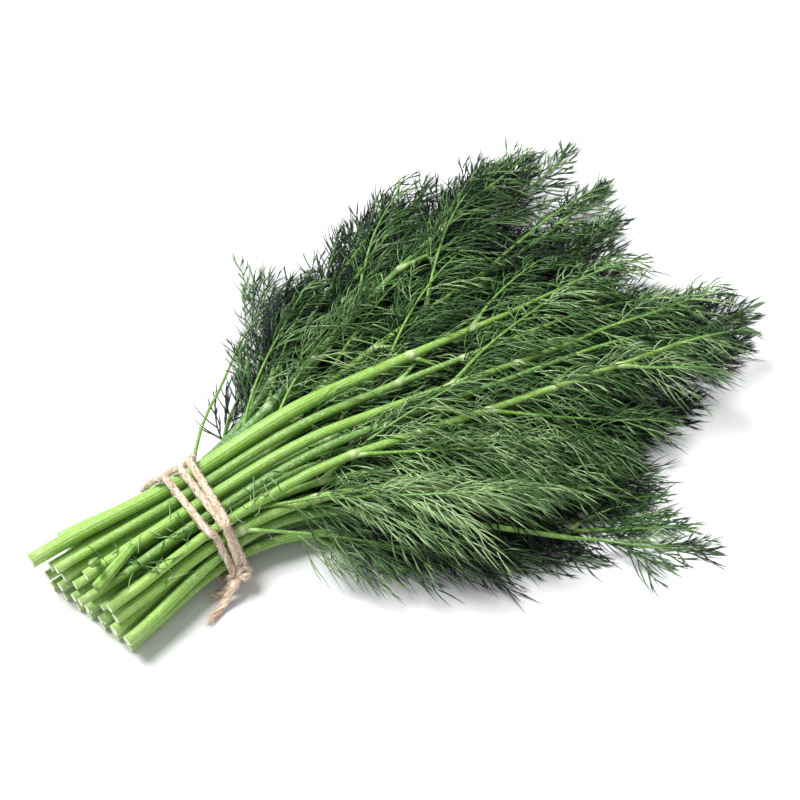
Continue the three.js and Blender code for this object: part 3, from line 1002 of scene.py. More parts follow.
        halfway = size * 0.5 * (direction + curl * 0.25)
        fork_start = start + halfway * rng.uniform(*rule.fork_from, (n, 1))
        swing = rng.uniform(*rule.fork_swing, (n, 1)) * np.where(rng.random((n, 1)) < 0.5, 1.0, -1.0)
        fork_direction = unit(direction + curl + np.cross(normal, direction) * swing)
        fork_size = size * rng.uniform(*rule.fork_size, (n, 1))
        forked = curled(fork_start, fork_size, fork_direction, rule.fork_curl * curl)[forks]
        lines = np.concatenate([threads, forked])
        raise_to(lines, rule.lowest)
        radii = rule.thread_radius * np.tile(rule.thread_profile, (len(lines), 1))
        shades = tone + rng.normal(0, rule.thread_tone, (len(lines), 1))
        shades = shades + rule.bright_tone * (rng.random((len(lines), 1)) < rule.bright_share)
        shades = np.clip(shades + rule.tip_tone * (rod.ring / (rod.rings - 1))[None], 0, 1)
        growth.stock.add(rod, rod.lay(lines, radii), Surface.THREAD.value, tone=shades)
        return len(lines)


@dataclass(frozen=True)
class StalkRule:
    """The form and shades of a stalk, and of what grows on it, painted light and shade among them. Sizes in
    millimetres.
    """

    sides: int = 28
    rings: int = 52
    rib_height: float = 0.022
    node_steps: tuple[float, ...] = (-3.2, -1.6, -0.7, 0, 0.7, 1.6, 3.2)
    swelling: float = 0.12
    half_width: float = 1.8
    whitening: float = 1.3
    node_pale: tuple[float, float] = (0.35, 0.9)
    cut_width: float = 9.0
    cut_pale: float = 0.16
    tone: float = 0.26
    # Painted light and shade: stalks in higher rows are lighter.
    painted_light_by_row: float = 0.07
    tone_spread: float = 0.26
    lightest: float = 0.9
    lighter_at_cut: float = 0.5
    # Painted shade: how much deeper a stalk's colour is along its leafy stretch.
    painted_shade_in_leaves: float = 0.1
    clear_past_node: float = 16.0
    lowest_dressed_row: int = 3
    shortest_dressed: float = 20.0
    dressed_branch: float = 24.0
    dressed_points: int = 14
    leaf_tone: float = 0.44
    leaf_tone_range: tuple[float, float] = (0.05, 0.9)
    leaf_tone_spread: float = 0.08
    # Painted light by height, with a lighter front: how much the tone changes, over which height, and from
    # which front place over which depth.
    height_light_and_front_tone: float = 0.16
    painted_light_height: float = 45.0
    tone_middle: float = 20.0
    tone_depth: float = 110.0


class StemBuilder:
    """Builds the leafy stems of the bunch."""

    def __init__(self, arrangement: Arrangement, materials: list[bpy.types.Material]) -> None:
        """Models the straight stalk.

        Args:
            arrangement: Where the stalks and leaves are.
            materials: The materials of stalks, threads and pith.
        """
        self.arrangement = arrangement
        self.materials = materials
        self.rule = StalkRule()
        self.rod = Rod(self.rule.sides, self.rule.rings, cut=True)
        self.grower = FrondGrower(FrondRule(), Canopy(sum(arrangement.leaves.values(), [])))

    def build(self, stalk: Stalk) -> tuple[bpy.types.Object, int]:
        """Builds one leafy stem.

        Args:
            stalk: Its stalk.

        Returns:
            The new piece, and how many threads it has.
        """
        growth = Growth(np.random.default_rng(stalk.number), MeshStock())
        leaves = self.arrangement.leaves[stalk.number]
        self._add_stalk(stalk, leaves, growth)
        threads = self._dress_the_tip(stalk, growth)
        for leaf in leaves:
            # Painted light: a leaf's tone is lighter the higher it lies.
            tone = self._tone_at(leaf.points[len(leaf.points) // 2])
            tone += growth.rng.normal(0, self.rule.leaf_tone_spread)
            threads += self.grower.grow(leaf, tone, growth)
        return growth.stock.make(f"dill_stem_{stalk.number:02d}", self.materials), threads

    def _dress_the_tip(self, stalk: Stalk, growth: Growth) -> int:
        """Adds short side branches to the outer part of a stalk, which hide it.

        Args:
            stalk: The stalk.
            growth: The stem's draws and stock.

        Returns:
            How many threads they have.
        """
        rule = self.rule
        start = stalk.bare + rule.clear_past_node
        length = stalk.length - start
        if stalk.row < rule.lowest_dressed_row or length < rule.shortest_dressed:
            return 0
        if stalk.is_rearmost:
            start, length = start + length * 0.5, length * 0.5
        line = np.array([stalk.at(s) for s in np.linspace(start, stalk.length, rule.dressed_points)])
        # Painted light: the tone is lighter the higher this stretch of the stalk lies.
        tone = self._tone_at(line[len(line) // 2])
        return self.grower.dress(Leaf(line, length, start, 0), line, rule.dressed_branch, tone, growth)

    def _tone_at(self, point: np.ndarray) -> float:
        """Gives a leaf's shade of green, with painted light: lighter higher up, where the light falls, and
        deeper low down. It is also lighter towards the front and deeper at the back.

        Args:
            point: The leaf's middle.

        Returns:
            The shade, from 0 to 1.
        """
        rule = self.rule
        front = np.clip((rule.tone_middle - point[1]) / rule.tone_depth, -0.5, 0.5)
        # Painted light: the higher the leaf's middle, the lighter its tone; the front term makes it lighter
        # towards the front.
        tone = rule.leaf_tone + rule.height_light_and_front_tone * (point[2] / rule.painted_light_height + front)
        return float(np.clip(tone, *rule.leaf_tone_range))

    def _add_stalk(self, stalk: Stalk, leaves: list[Leaf], growth: Growth) -> None:
        """Adds the stalk with its ribs, nodes and cut end.

        Args:
            stalk: The stalk.
            leaves: The leaves on it.
            growth: The stem's draws and stock.
        """
        rule, rng, rod = self.rule, growth.rng, self.rod
        nodes = [leaf.s for leaf in leaves if leaf.side]
        near = [s + step for s in nodes for step in rule.node_steps]
        spread = np.linspace(-stalk.cut_length, stalk.length, rule.rings - len(near))
        stations = np.sort(np.concatenate([spread, near]))
        line = np.array([stalk.at(s) for s in stations])
        radii = np.array([stalk.radius_at(s) for s in stations])
        pale = rule.cut_pale * bump(stations + stalk.cut_length, rule.cut_width)
        for s in nodes:
            radii = radii * (1 + rule.swelling * bump(stations - s, rule.half_width))
            pale = np.maximum(pale, rng.uniform(*rule.node_pale) * bump(stations - s, rule.whitening))
        rib = np.where(rod.corner % 2 == 0, 1.0, -1.0)
        laid = rod.lay(line[None], radii[None])
        axis = line[rod.ring]
        laid = axis + (laid - axis) * (1 + rule.rib_height * rib[:, None] * ~rod.is_inner[:, None])
        # Painted light and shade: stalks in higher rows, nearer the top of the bunch, are lighter.
        tone = rule.tone + rule.painted_light_by_row * stalk.row + rng.normal(0, rule.tone_spread)
        tone = rule.lightest if stalk.is_rearmost else np.clip(tone, 0.0, rule.lightest)
        to_cut = np.array([smooth(-s / stalk.cut_length) for s in stations])
        # Lighter towards the cut; painted shade deepens the stalk along its leafy stretch.
        tones = tone + rule.lighter_at_cut * to_cut - rule.painted_shade_in_leaves * (stations > stalk.bare)
        tones = np.clip(tones, 0, 1)
        values = {"tone": tones[rod.ring][None], "pale": pale[rod.ring][None], "rib": rib[None]}
        growth.stock.add(rod, laid, Surface.STALK.value, **values)


@dataclass(frozen=True)
class TrimmedBits:
    """Two short cut leaf stalks, one lying and one standing up steeply, and clipped threads on the stalks.

    Places are along and across from the tie, in mm.
    """

    fork: tuple[float, float] = (-55.0, -11.5)
    stubs: tuple[tuple[float, float, float], ...] = ((-33.5, -3.0, 1.9), (-47.5, 2.0, 1.3))
    spots: tuple[tuple[float, float, int], ...] = (
        (-37.5, -7.5, 20), (-29.0, -16.0, 16), (-15.5, -8.5, 12), (16.0, -14.0, 10), (26.5, -10.0, 14),
    )
    stub_widens: float = 0.35
    stub_tone: float = 0.85
    stub_sides: int = 12
    stub_rings: int = 8
    sink: float = 0.15
    scatter: float = 3.4
    thread_lengths: tuple[float, float] = (4.0, 11.0)
    thread_radius: float = 0.26
    thread_profile: tuple[float, ...] = (0.8, 1.0, 0.8, 0.0)
    thread_curl: float = 0.4
    thread_lift: tuple[float, float] = (-0.2, 0.5)
    thread_tones: tuple[float, float] = (0.45, 1.0)
    reach: float = 45.0
    reach_points: int = 110
    seed: int = 515

    def build(self, stalks: list[Stalk], materials: list[bpy.types.Material]) -> bpy.types.Object:
        """Builds them all.

        Args:
            stalks: The stalks that they lie on.
            materials: The materials of stalks, threads and pith.

        Returns:
            The new piece.
        """
        stock = MeshStock()
        reach = np.linspace(-LAYOUT.longest_cut, self.reach, self.reach_points)
        axis = np.array([[*stalk.at(s), stalk.radius_at(s)] for stalk in stalks for s in reach])
        self._add_stubs(axis, stock)
        self._add_threads(axis, stock)
        return stock.make("trimmed_bits", materials)

    @staticmethod
    def _top_at(axis: np.ndarray, x: float, y: float) -> float:
        """Gives the height of the highest stalk surface at a place, 0 on the floor."""
        across = np.hypot(axis[:, 0] - x, axis[:, 1] - y)
        under = axis[across < axis[:, 3]]
        rise = np.sqrt(under[:, 3] ** 2 - across[across < axis[:, 3]] ** 2)
        return float(np.max(under[:, 2] + rise, initial=0.0))

    def _add_stubs(self, axis: np.ndarray, stock: MeshStock) -> None:
        """Adds the two cut leaf stalks, which start over the same place and are straight.

        Args:
            axis: Points on the stalks, with their radii.
            stock: Where they go.
        """
        tie = np.array([LAYOUT.tie_x, LAYOUT.tie_y])
        rod = Rod(self.stub_sides, self.stub_rings, cut=True)
        rib = np.where(rod.corner % 2 == 0, 1.0, -1.0)[None]
        share = np.linspace(0, 1, rod.rings)
        for x, y, radius in self.stubs:
            flat = tie + np.array([x, y]) + np.outer(share, np.array(self.fork) - np.array([x, y]))
            radii = radius * (1 + self.stub_widens * share)
            needed = np.array([self._top_at(axis, *place) for place in flat]) + radii * (1 - self.sink)
            level = needed[0] + (needed[-1] - needed[0]) * share
            line = np.column_stack([flat, level + max(0.0, float(np.max(needed - level)))])
            laid = rod.lay(line[None], radii[None])
            stock.add(rod, laid, Surface.STALK.value, tone=self.stub_tone, rib=rib)

    def _add_threads(self, axis: np.ndarray, stock: MeshStock) -> None:
        """Adds the clipped threads, spot by spot.

        Args:
            axis: Points on the stalks, with their radii.
            stock: Where they go.
        """
        rng = np.random.default_rng(self.seed)
        rod = Rod(3, len(THREAD_STEPS), pointed=True)
        for x, y, count in self.spots:
            middle = np.array([LAYOUT.tie_x + x, LAYOUT.tie_y + y])
            start = middle + rng.normal(0, self.scatter, (count, 2))
            heading = unit(rng.normal(0, 1, (count, 2)))
            curl = rng.normal(0, self.thread_curl, (count, 2))
            size = rng.uniform(*self.thread_lengths, (count, 1))
            flat = np.stack([start + size * u * (heading + curl * u) for u in THREAD_STEPS], 1)
            tops = np.array([[self._top_at(axis, *place) for place in line] for line in flat])
            lift = rng.uniform(*self.thread_lift, tops.shape)
            height = tops.max(axis=1, keepdims=True) + self.thread_radius + lift
            lines = np.concatenate([flat, height[:, :, None]], axis=2)
            radii = self.thread_radius * np.tile(self.thread_profile, (count, 1))
            tone = rng.uniform(*self.thread_tones, (count, 1))
            stock.add(rod, rod.lay(lines, radii), Surface.THREAD.value, tone=tone)


@dataclass(frozen=True)
class TwineSizes:
    """The twine's route and sizes in millimetres, the first ones as its solid has them.

    Phases and tilts are in radians. The rest are shares, counts and shades.
    """

    radius: float = 1.4
    gap: float = 0.4
    corners: int = 16
    stations: tuple[float, ...] = (-14.0, 0.0, 8.0)
    top_turns: tuple[tuple[float, float, float], ...] = ((-13, -2.7, 0), (-4, 2.7, 0), (7, 0, 2.4))
    bottom_turns: tuple[tuple[float, float], ...] = ((-2.7, -13), (0, -4), (2.7, 7))
    knot_x: float = 1.0
    knot_radius: float = 2.2
    knot_points: int = 14
    knot_loops: tuple[tuple[float, float], ...] = ((0.3, 1.0), (1.35, 0.9))
    knot_across: tuple[float, float, float] = (0.31, 0.85, -0.42)
    top_phase: float = 1.1
    bottom_phase: tuple[float, float] = (2.0, 1.3)
    end_steps: tuple[float, ...] = (0.0, 0.3, 0.65, 1.0)
    end_falls: float = 1.3
    end_rests: float = 1.1
    ends: tuple[tuple[float, float], ...] = ((19, 7), (12, -1))
    strands: int = 3
    strand_radius: float = 0.7
    strand_apart: float = 0.04
    strand_uneven: float = 0.07
    strand_tone: tuple[float, float] = (0.5, 0.18)
    twist_pitch: float = 15.0
    step: float = 0.9
    lying_per_step: float = 7.0
    lying_radius: float = 0.17
    lying_steps: tuple[int, ...] = (0, 3, 6, 8)
    lying_reach: tuple[float, float] = (0.9, 1.12)
    lying_twist: tuple[float, float] = (0.9, 1.1)
    lying_thickness: tuple[float, float] = (0.6, 1.3)
    lying_tones: tuple[float, float] = (0.4, 1.1)
    lying_heights: tuple[float, ...] = (0.9, 1.0, 1.0, 0.9)
    lying_profile: tuple[float, ...] = (0.7, 1.0, 1.0, 0.0)
    lying_fewest_points: int = 12
    hairs_per_step: float = 3.4
    hair_lengths: tuple[float, float] = (1.2, 4.2)
    hair_radii: tuple[float, ...] = (0.085, 0.07, 0.0)
    hair_root: float = 0.75
    hair_lean: tuple[float, float] = (0.5, 0.4)
    hair_rise: float = 0.28
    hair_unrest: float = 0.3
    lowest_hair: float = 0.2
    fray_count: int = 46
    fray_lengths: tuple[float, float] = (2.5, 6.5)
    fray_radii: tuple[float, ...] = (0.12, 0.09, 0.0)
    fray_back: float = 0.8
    fray_scatter: float = 0.5
    fray_splay: float = 0.34
    fray_unrest: float = 0.12
    seed: int = 404


class TwineTie:
    """Builds the twine: three twisted strands along every turn, a knot, two frayed ends and loose fibres."""

    def __init__(self, arrangement: Arrangement, material: bpy.types.Material) -> None:
        """Works out the line round the stems.

        Args:
            arrangement: Where the stalks are.
            material: The twine's material.
        """
        self.sizes = TwineSizes()
        self.material = material
        self.stock = MeshStock()
        self.rng = np.random.default_rng(self.sizes.seed)
        self.fibre = Rod(3, 3, pointed=True)
        self.lying_fibre = Rod(3, len(self.sizes.lying_steps), pointed=True)
        self.corners = self._round_the_stems(arrangement)

    def _round_the_stems(self, arrangement: Arrangement) -> np.ndarray:
        """Gives the corners of the line round the stems, as the solid has them."""
        sizes = self.sizes
        circles = np.array([
            [*stalk.at(s)[1:], stalk.radius + sizes.gap + sizes.radius]
            for stalk in arrangement.stalks
            for s in sizes.stations
        ])
        corners = []
        for i in range(sizes.corners):
            angle = 2 * math.pi * i / sizes.corners
            normal = np.array([math.cos(angle), math.sin(angle)])
            best = circles[np.argmax(circles[:, :2] @ normal + circles[:, 2])]
            corners.append([0.0, *(best[:2] + best[2] * normal)])
        return np.array(corners)

    def _half_turn(self, first: int, start_x: float, end_x: float, lift: float = 0.0) -> np.ndarray:
        """Gives the points of half a turn.

        Args:
            first: The corner that it starts from.
            start_x: Its place along the stems at its start, from the tie.
            end_x: The same at its end.
            lift: How far its middle rises above the other turns.

        Returns:
            Its points.
        """
        steps = self.sizes.corners // 2
        points = []
        for i in range(steps + 1):
            t = i / steps
            p = self.corners[(first + i) % self.sizes.corners].copy()
            p[0] = LAYOUT.tie_x + start_x + (end_x - start_x) * smooth(t)
            p[2] += lift * math.sin(math.pi * t) ** 2
            points.append(p)
        return np.array(points)

    def _lay_strands(self, points: np.ndarray, across: np.ndarray, phase: float) -> None:
        """Adds three strands twisted round a line, and the fibres that stand off them.

        Args:
            points: The line's points.
            across: A direction that the line never takes.
            phase: Where in its twist it starts, in radians.
        """
        sizes = self.sizes
        rough = curve_through(points, 200)
        travelled = np.concatenate([[0], np.cumsum(np.linalg.norm(np.diff(rough, axis=0), axis=1))])
        count = max(4, int(travelled[-1] / sizes.step))
        at = np.linspace(0, travelled[-1], count)
        line = np.stack([np.interp(at, travelled, rough[:, k]) for k in range(3)], 1)
        ahead = unit(np.gradient(line, axis=0))
        side = unit(np.cross(across, ahead))
        top = np.cross(ahead, side)
        rod = Rod(6, count)
        for strand in range(sizes.strands):
            angle = phase + 2 * math.pi * (strand / sizes.strands + at / sizes.twist_pitch)
            reach = sizes.radius - sizes.strand_radius + sizes.strand_apart
            path = line + reach * (np.cos(angle)[:, None] * side + np.sin(angle)[:, None] * top)
            radii = sizes.strand_radius * (1 + sizes.strand_uneven * self.rng.normal(0, 1, count))
            tone = sizes.strand_tone[0] + sizes.strand_tone[1] * self.rng.normal(0, 1)
            self.stock.add(
                rod, rod.lay(path[None], radii[None], across), 0,
                tone=np.clip(tone, 0, 1), rib=(rod.corner % 6 / 3 - 1)[None],
            )
        self._surface_fibres(line, side, top, at, phase)
        self._fuzz(line, ahead, int(len(line) * sizes.hairs_per_step))

    def _surface_fibres(
        self, line: np.ndarray, side: np.ndarray, top: np.ndarray, at: np.ndarray, phase: float
    ) -> None:
        """Adds the fibres that lie along the strands and break their outline.

        Args:
            line: The line's points.
            side: A direction across it at each point.
            top: The other direction across it.
            at: The distance of each point along the line.
            phase: Where in its twist it starts, in radians.
        """
        rng, sizes, rod = self.rng, self.sizes, self.lying_fibre
        if len(line) < sizes.lying_fewest_points:
            return
        count = int(len(line) * sizes.lying_per_step)
        first = rng.integers(0, len(line) - sizes.lying_steps[-1] - 1, count)
        lane = rng.uniform(0, 2 * math.pi, count)
        reach = sizes.radius * rng.uniform(*sizes.lying_reach, count)
        rows = []
        for step, height in zip(sizes.lying_steps, sizes.lying_heights):
            i = first + step
            twist = 2 * math.pi * at[i] / sizes.twist_pitch * rng.uniform(*sizes.lying_twist)
            angle = phase + lane + twist
            out = np.cos(angle)[:, None] * side[i] + np.sin(angle)[:, None] * top[i]
            rows.append(line[i] + out * (reach * height)[:, None])
        lines = np.stack(rows, 1)
        thickness = rng.uniform(*sizes.lying_thickness, (count, 1))
        radii = sizes.lying_radius * np.tile(sizes.lying_profile, (count, 1)) * thickness
        self.stock.add(rod, rod.lay(lines, radii), 0, tone=rng.uniform(*sizes.lying_tones, (count, 1)))

    def _fuzz(self, line: np.ndarray, ahead: np.ndarray, count: int) -> None:
        """Adds loose fibres along a line.

        Args:
            line: The line's points.
            ahead: Its directions there.
            count: How many fibres.
        """
        rng, sizes = self.rng, self.sizes
        at = rng.integers(0, len(line), count)
        out = unit(rng.normal(0, 1, (count, 3)))
        out = unit(out - ahead[at] * np.einsum("ij,ij->i", out, ahead[at])[:, None])
        lean = ahead[at] * rng.choice([-1.0, 1.0], (count, 1))
        start = line[at] + out * sizes.radius * sizes.hair_root
        size = rng.uniform(*sizes.hair_lengths, (count, 1))
        middle = start + size * (sizes.hair_lean[0] * lean + sizes.hair_rise * out)
        end = middle + size * (sizes.hair_lean[1] * lean + rng.normal(0, sizes.hair_unrest, (count, 3)))
        self._add_hairs(np.stack([start, middle, end], 1), sizes.hair_radii)

    def _add_hairs(self, lines: np.ndarray, radii: tuple[float, ...]) -> None:
        """Adds fine hairs, none of them below the floor.

        Args:
            lines: Their points, as hairs by points by 3.
            radii: The radius at each point.
        """
        count = len(lines)
        raise_to(lines, self.sizes.lowest_hair)
        laid = self.fibre.lay(lines, np.tile(radii, (count, 1)))
        self.stock.add(self.fibre, laid, 0, tone=self.rng.uniform(0.5, 1, (count, 1)))

    def _knot_centre(self) -> np.ndarray:
        """Gives the middle of the knot."""
        centre = self.corners[self.sizes.corners // 2].copy()
        centre[0] = LAYOUT.tie_x + self.sizes.knot_x
        centre[1] -= self.sizes.radius
        return centre

    def _lay_knot(self) -> None:
        """Adds the knot's two loops and the two ends, each with its fray."""
        sizes, knot = self.sizes, self._knot_centre()
        turns = np.linspace(0, 2 * math.pi, sizes.knot_points + 1)[:-1]
        for tilt, wide in sizes.knot_loops:
            ring = np.stack([
                wide * np.cos(turns),
                np.sin(turns) * math.sin(tilt),
                np.sin(turns) * math.cos(tilt),
            ], 1)
            loop = knot + sizes.knot_radius * ring
            self._lay_strands(np.vstack([loop, loop[:2]]), np.array(sizes.knot_across), tilt)
        for length, aside in sizes.ends:
            points = []
            for t in sizes.end_steps:
                drop = (knot[2] - sizes.radius * sizes.end_rests) * smooth(t * sizes.end_falls)
                points.append([knot[0] - length * t, knot[1] - aside * t, knot[2] - drop])
            line = np.array(points)
            self._lay_strands(line, UP, length)
            self._fray(line)

    def _fray(self, line: np.ndarray) -> None:
        """Adds the splayed fibres at the end of a line.

        Args:
            line: The line's points.
        """
        rng, sizes = self.rng, self.sizes
        count = sizes.fray_count
        ahead = unit(line[-1] - line[-2])
        start = line[-1] - ahead * sizes.fray_back + rng.normal(0, sizes.fray_scatter, (count, 3))
        heading = unit(ahead + rng.normal(0, sizes.fray_splay, (count, 3)))
        size = rng.uniform(*sizes.fray_lengths, (count, 1))
        middle = start + size * 0.5 * heading
        end = start + size * (heading + rng.normal(0, sizes.fray_unrest, (count, 3)))
        self._add_hairs(np.stack([start, middle, end], 1), sizes.fray_radii)

    def build(self) -> bpy.types.Object:
        """Builds the whole tie.

        Returns:
            The new piece.
        """
        sizes = self.sizes
        along_stems = np.array([1.0, 0.0, 0.0])
        for i, (back, front, lift) in enumerate(sizes.top_turns):
            turn = self._half_turn(0, back, front, lift)
            self._lay_strands(turn, along_stems, i * sizes.top_phase)
        for i, (front, back) in enumerate(sizes.bottom_turns):
            turn = self._half_turn(sizes.corners // 2, front, back)
            self._lay_strands(turn, along_stems, sizes.bottom_phase[0] + i * sizes.bottom_phase[1])
        self._lay_knot()
        return self.stock.make("twine_wrap", [self.material])


def linear(hex_colour: str) -> tuple[float, float, float, float]:
    """Turns an sRGB hex colour to linear.

    Args:
        hex_colour: The colour, such as "#7fb53f".

    Returns:
        Red, green, blue and alpha.
    """
    channels = [int(hex_colour[i : i + 2], 16) / 255 for i in (1, 3, 5)]
    return (*(c / 12.92 if c <= 0.04045 else ((c + 0.055) / 1.055) ** 2.4 for c in channels), 1.0)


def add_node(
    tree: bpy.types.NodeTree, kind: str, inputs: dict | None = None, **settings: object
) -> bpy.types.Node:
    """Adds a node with its settings and links.

    Args:
        tree: The material's node tree.
        kind: The node's type.
        inputs: A value or another node's output for each input, by name or number.
        settings: Values of the node's own properties.

    Returns:
        The node.
    """
    node = tree.nodes.new(kind)
    for key, value in settings.items():
        setattr(node, key, value)
    for key, value in (inputs or {}).items():
        if isinstance(value, bpy.types.NodeSocket):
            tree.links.new(value, node.inputs[key])
        else:
            node.inputs[key].default_value = value
    return node


class Finish:
    """A material with its node tree and its shader."""

    def __init__(self, name: str, roughness: float, ior: float) -> None:
        """Makes an empty material.

        Args:
            name: The real material's name.
            roughness: The shader's roughness.
            ior: The shader's index of refraction.
        """
        self.material = bpy.data.materials.new(name)
        self.material.use_nodes = True
        self.tree = self.material.node_tree
        self.tree.nodes.clear()
        self.shader = add_node(self.tree, "ShaderNodeBsdfPrincipled", {"Roughness": roughness, "IOR": ior})
        add_node(self.tree, "ShaderNodeOutputMaterial", {"Surface": self.shader.outputs[0]})
        self.place = add_node(self.tree, "ShaderNodeTexCoord").outputs["Object"]

    def patches(
        self, size_mm: float, detail: float = 2.0, squeeze: tuple[float, float, float] = (1.0, 1.0, 1.0)
    ) -> bpy.types.NodeSocket:
        """Gives soft patches of a real size.

        Args:
            size_mm: Their size in millimetres.
            detail: How many finer layers they have.
            squeeze: A share for each axis, below 1 where the patches are drawn out.

        Returns:
            An output around 0.5.
        """
        place = add_node(self.tree, "ShaderNodeMapping", {"Vector": self.place, "Scale": squeeze}).outputs[0]
        inputs = {"Vector": place, "Scale": 1 / (size_mm * MM), "Detail": detail}
        return add_node(self.tree, "ShaderNodeTexNoise", inputs).outputs["Fac"]

    def uneven_tone(self, patches: bpy.types.NodeSocket, amount: float) -> bpy.types.NodeSocket:
        """Gives the mesh's tone, made uneven by patches.

        Args:
            patches: The patches, around 0.5.
            amount: How far they reach up and down together.

        Returns:
            The tone's output.
        """
        tone = add_node(self.tree, "ShaderNodeAttribute", attribute_name="tone").outputs["Fac"]
        inputs = {0: patches, 1: amount, 2: tone}
        raised = add_node(self.tree, "ShaderNodeMath", inputs, operation="MULTIPLY_ADD").outputs[0]
        inputs = {0: raised, 1: amount / 2}
        return add_node(self.tree, "ShaderNodeMath", inputs, operation="SUBTRACT").outputs[0]

    def coloured(
        self, value: bpy.types.NodeSocket, stops: tuple[tuple[float, str], ...]
    ) -> bpy.types.Material:
        """Colours the shader by a value.

        Args:
            value: The value's output.
            stops: Places from 0 to 1 with their hex colours.

        Returns:
            The finished material.
        """
        ramp = add_node(self.tree, "ShaderNodeValToRGB", {0: value})
        elements = ramp.color_ramp.elements
        while len(elements) < len(stops):
            elements.new(0.5)
        for element, (place, colour) in zip(elements, stops):
            element.position = place
            element.color = linear(colour)
        self.tree.links.new(ramp.outputs[0], self.shader.inputs["Base Color"])
        return self.material


@dataclass(frozen=True)
class DillThread:
    """Fresh dill leaflets: matt blue-green threads, lighter and yellower at their tips."""

    roughness: float = 0.5
    ior: float = 1.42
    patch_mm: float = 16.0
    patchy: float = 0.5
    # The tone that picks these colours carries painted light on top and painted shade deep in the leaves.
    stops: tuple[tuple[float, str], ...] = (
        (0.0, "#0b160e"), (0.3, "#213b25"), (0.62, "#517c3d"), (1.0, "#b4d096"),
    )

    def make(self) -> bpy.types.Material:
        """Makes the material."""
        finish = Finish("fresh_dill_thread", self.roughness, self.ior)
        tone = finish.uneven_tone(finish.patches(self.patch_mm), self.patchy)
        return finish.coloured(tone, self.stops)


@dataclass(frozen=True)
class DillStalk:
    """Fresh dill stalks: waxy lime green with fine ribs along them, pale joints, and small light dots that
    are partly a whitish bloom and partly a painted sheen. Their tone carries painted light and shade.
    """

    roughness: float = 0.4
    ior: float = 1.45
    deep: str = "#4f8034"
    light: str = "#a6d552"
    patch_mm: float = 7.0
    patchy: float = 0.35
    rib_light: str = "#acd67a"
    rib_deep: str = "#335f22"
    crest: float = 0.42
    valley: float = -0.55
    joint: str = "#e8ecbe"
    bloom_and_sheen: str = "#cfe5b8"
    bloom_and_sheen_mm: float = 0.45
    bloom_and_sheen_stretch: tuple[float, float, float] = (0.3, 0.6, 1.0)
    bloom_and_sheen_range: tuple[float, float] = (0.5, 0.76)
    bloom_and_sheen_share: float = 0.6

    def make(self) -> bpy.types.Material:
        """Makes the material, coat over coat."""
        finish = Finish("fresh_dill_stalk", self.roughness, self.ior)
        tree = finish.tree
        tone, rib, pale = (
            add_node(tree, "ShaderNodeAttribute", attribute_name=name).outputs["Fac"]
            for name in ("tone", "rib", "pale")
        )
        patches, crest, valley = (
            add_node(tree, "ShaderNodeMath", {0: value, 1: share}, operation="MULTIPLY", use_clamp=clamp)
            for value, share, clamp in (
                (finish.patches(self.patch_mm), self.patchy, False),
                (rib, self.crest, True),
                (rib, self.valley, True),
            )
        )
        # Small light dots: partly a whitish bloom, partly a painted sheen, as of tiny droplets.
        dots = finish.patches(self.bloom_and_sheen_mm, squeeze=self.bloom_and_sheen_stretch)
        inputs = {0: dots, 1: self.bloom_and_sheen_range[0], 2: self.bloom_and_sheen_range[1], 3: 0.0, 4: self.bloom_and_sheen_share}
        bloom_and_sheen = add_node(tree, "ShaderNodeMapRange", inputs)
        coats = (
            (tone, self.light),
            (patches.outputs[0], self.rib_deep),
            (crest.outputs[0], self.rib_light),
            (valley.outputs[0], self.rib_deep),
            (pale, self.joint),
            (bloom_and_sheen.outputs[0], self.bloom_and_sheen),
        )
        colour = linear(self.deep)
        for share, coat in coats:
            inputs = {0: share, 6: colour, 7: linear(coat)}
            colour = add_node(tree, "ShaderNodeMix", inputs, data_type="RGBA").outputs[2]
        tree.links.new(colour, finish.shader.inputs["Base Color"])
        return finish.material


@dataclass(frozen=True)
class CutPith:
    """The cut face of a stalk: a moist, pale pith that scatters light."""

    roughness: float = 0.45
    ior: float = 1.4
    patch_mm: float = 0.8
    stops: tuple[tuple[float, str], ...] = ((0.3, "#dbe8b0"), (0.7, "#f6f8e2"))

    def make(self) -> bpy.types.Material:
        """Makes the material."""
        finish = Finish("cut_dill_pith", self.roughness, self.ior)
        return finish.coloured(finish.patches(self.patch_mm), self.stops)


@dataclass(frozen=True)
class JuteTwine:
    """Natural jute: dry, dull plant fibre, pale tan with redder streaks."""

    roughness: float = 0.92
    ior: float = 1.5
    streak_mm: float = 0.7
    streak_detail: float = 3.0
    streaky: float = 0.9
    stops: tuple[tuple[float, str], ...] = ((0.0, "#c08c6c"), (0.35, "#e6c4a6"), (0.8, "#fbeedd"))

    def make(self) -> bpy.types.Material:
        """Makes the material."""
        finish = Finish("natural_jute", self.roughness, self.ior)
        tone = finish.uneven_tone(finish.patches(self.streak_mm, self.streak_detail), self.streaky)
        return finish.coloured(tone, self.stops)


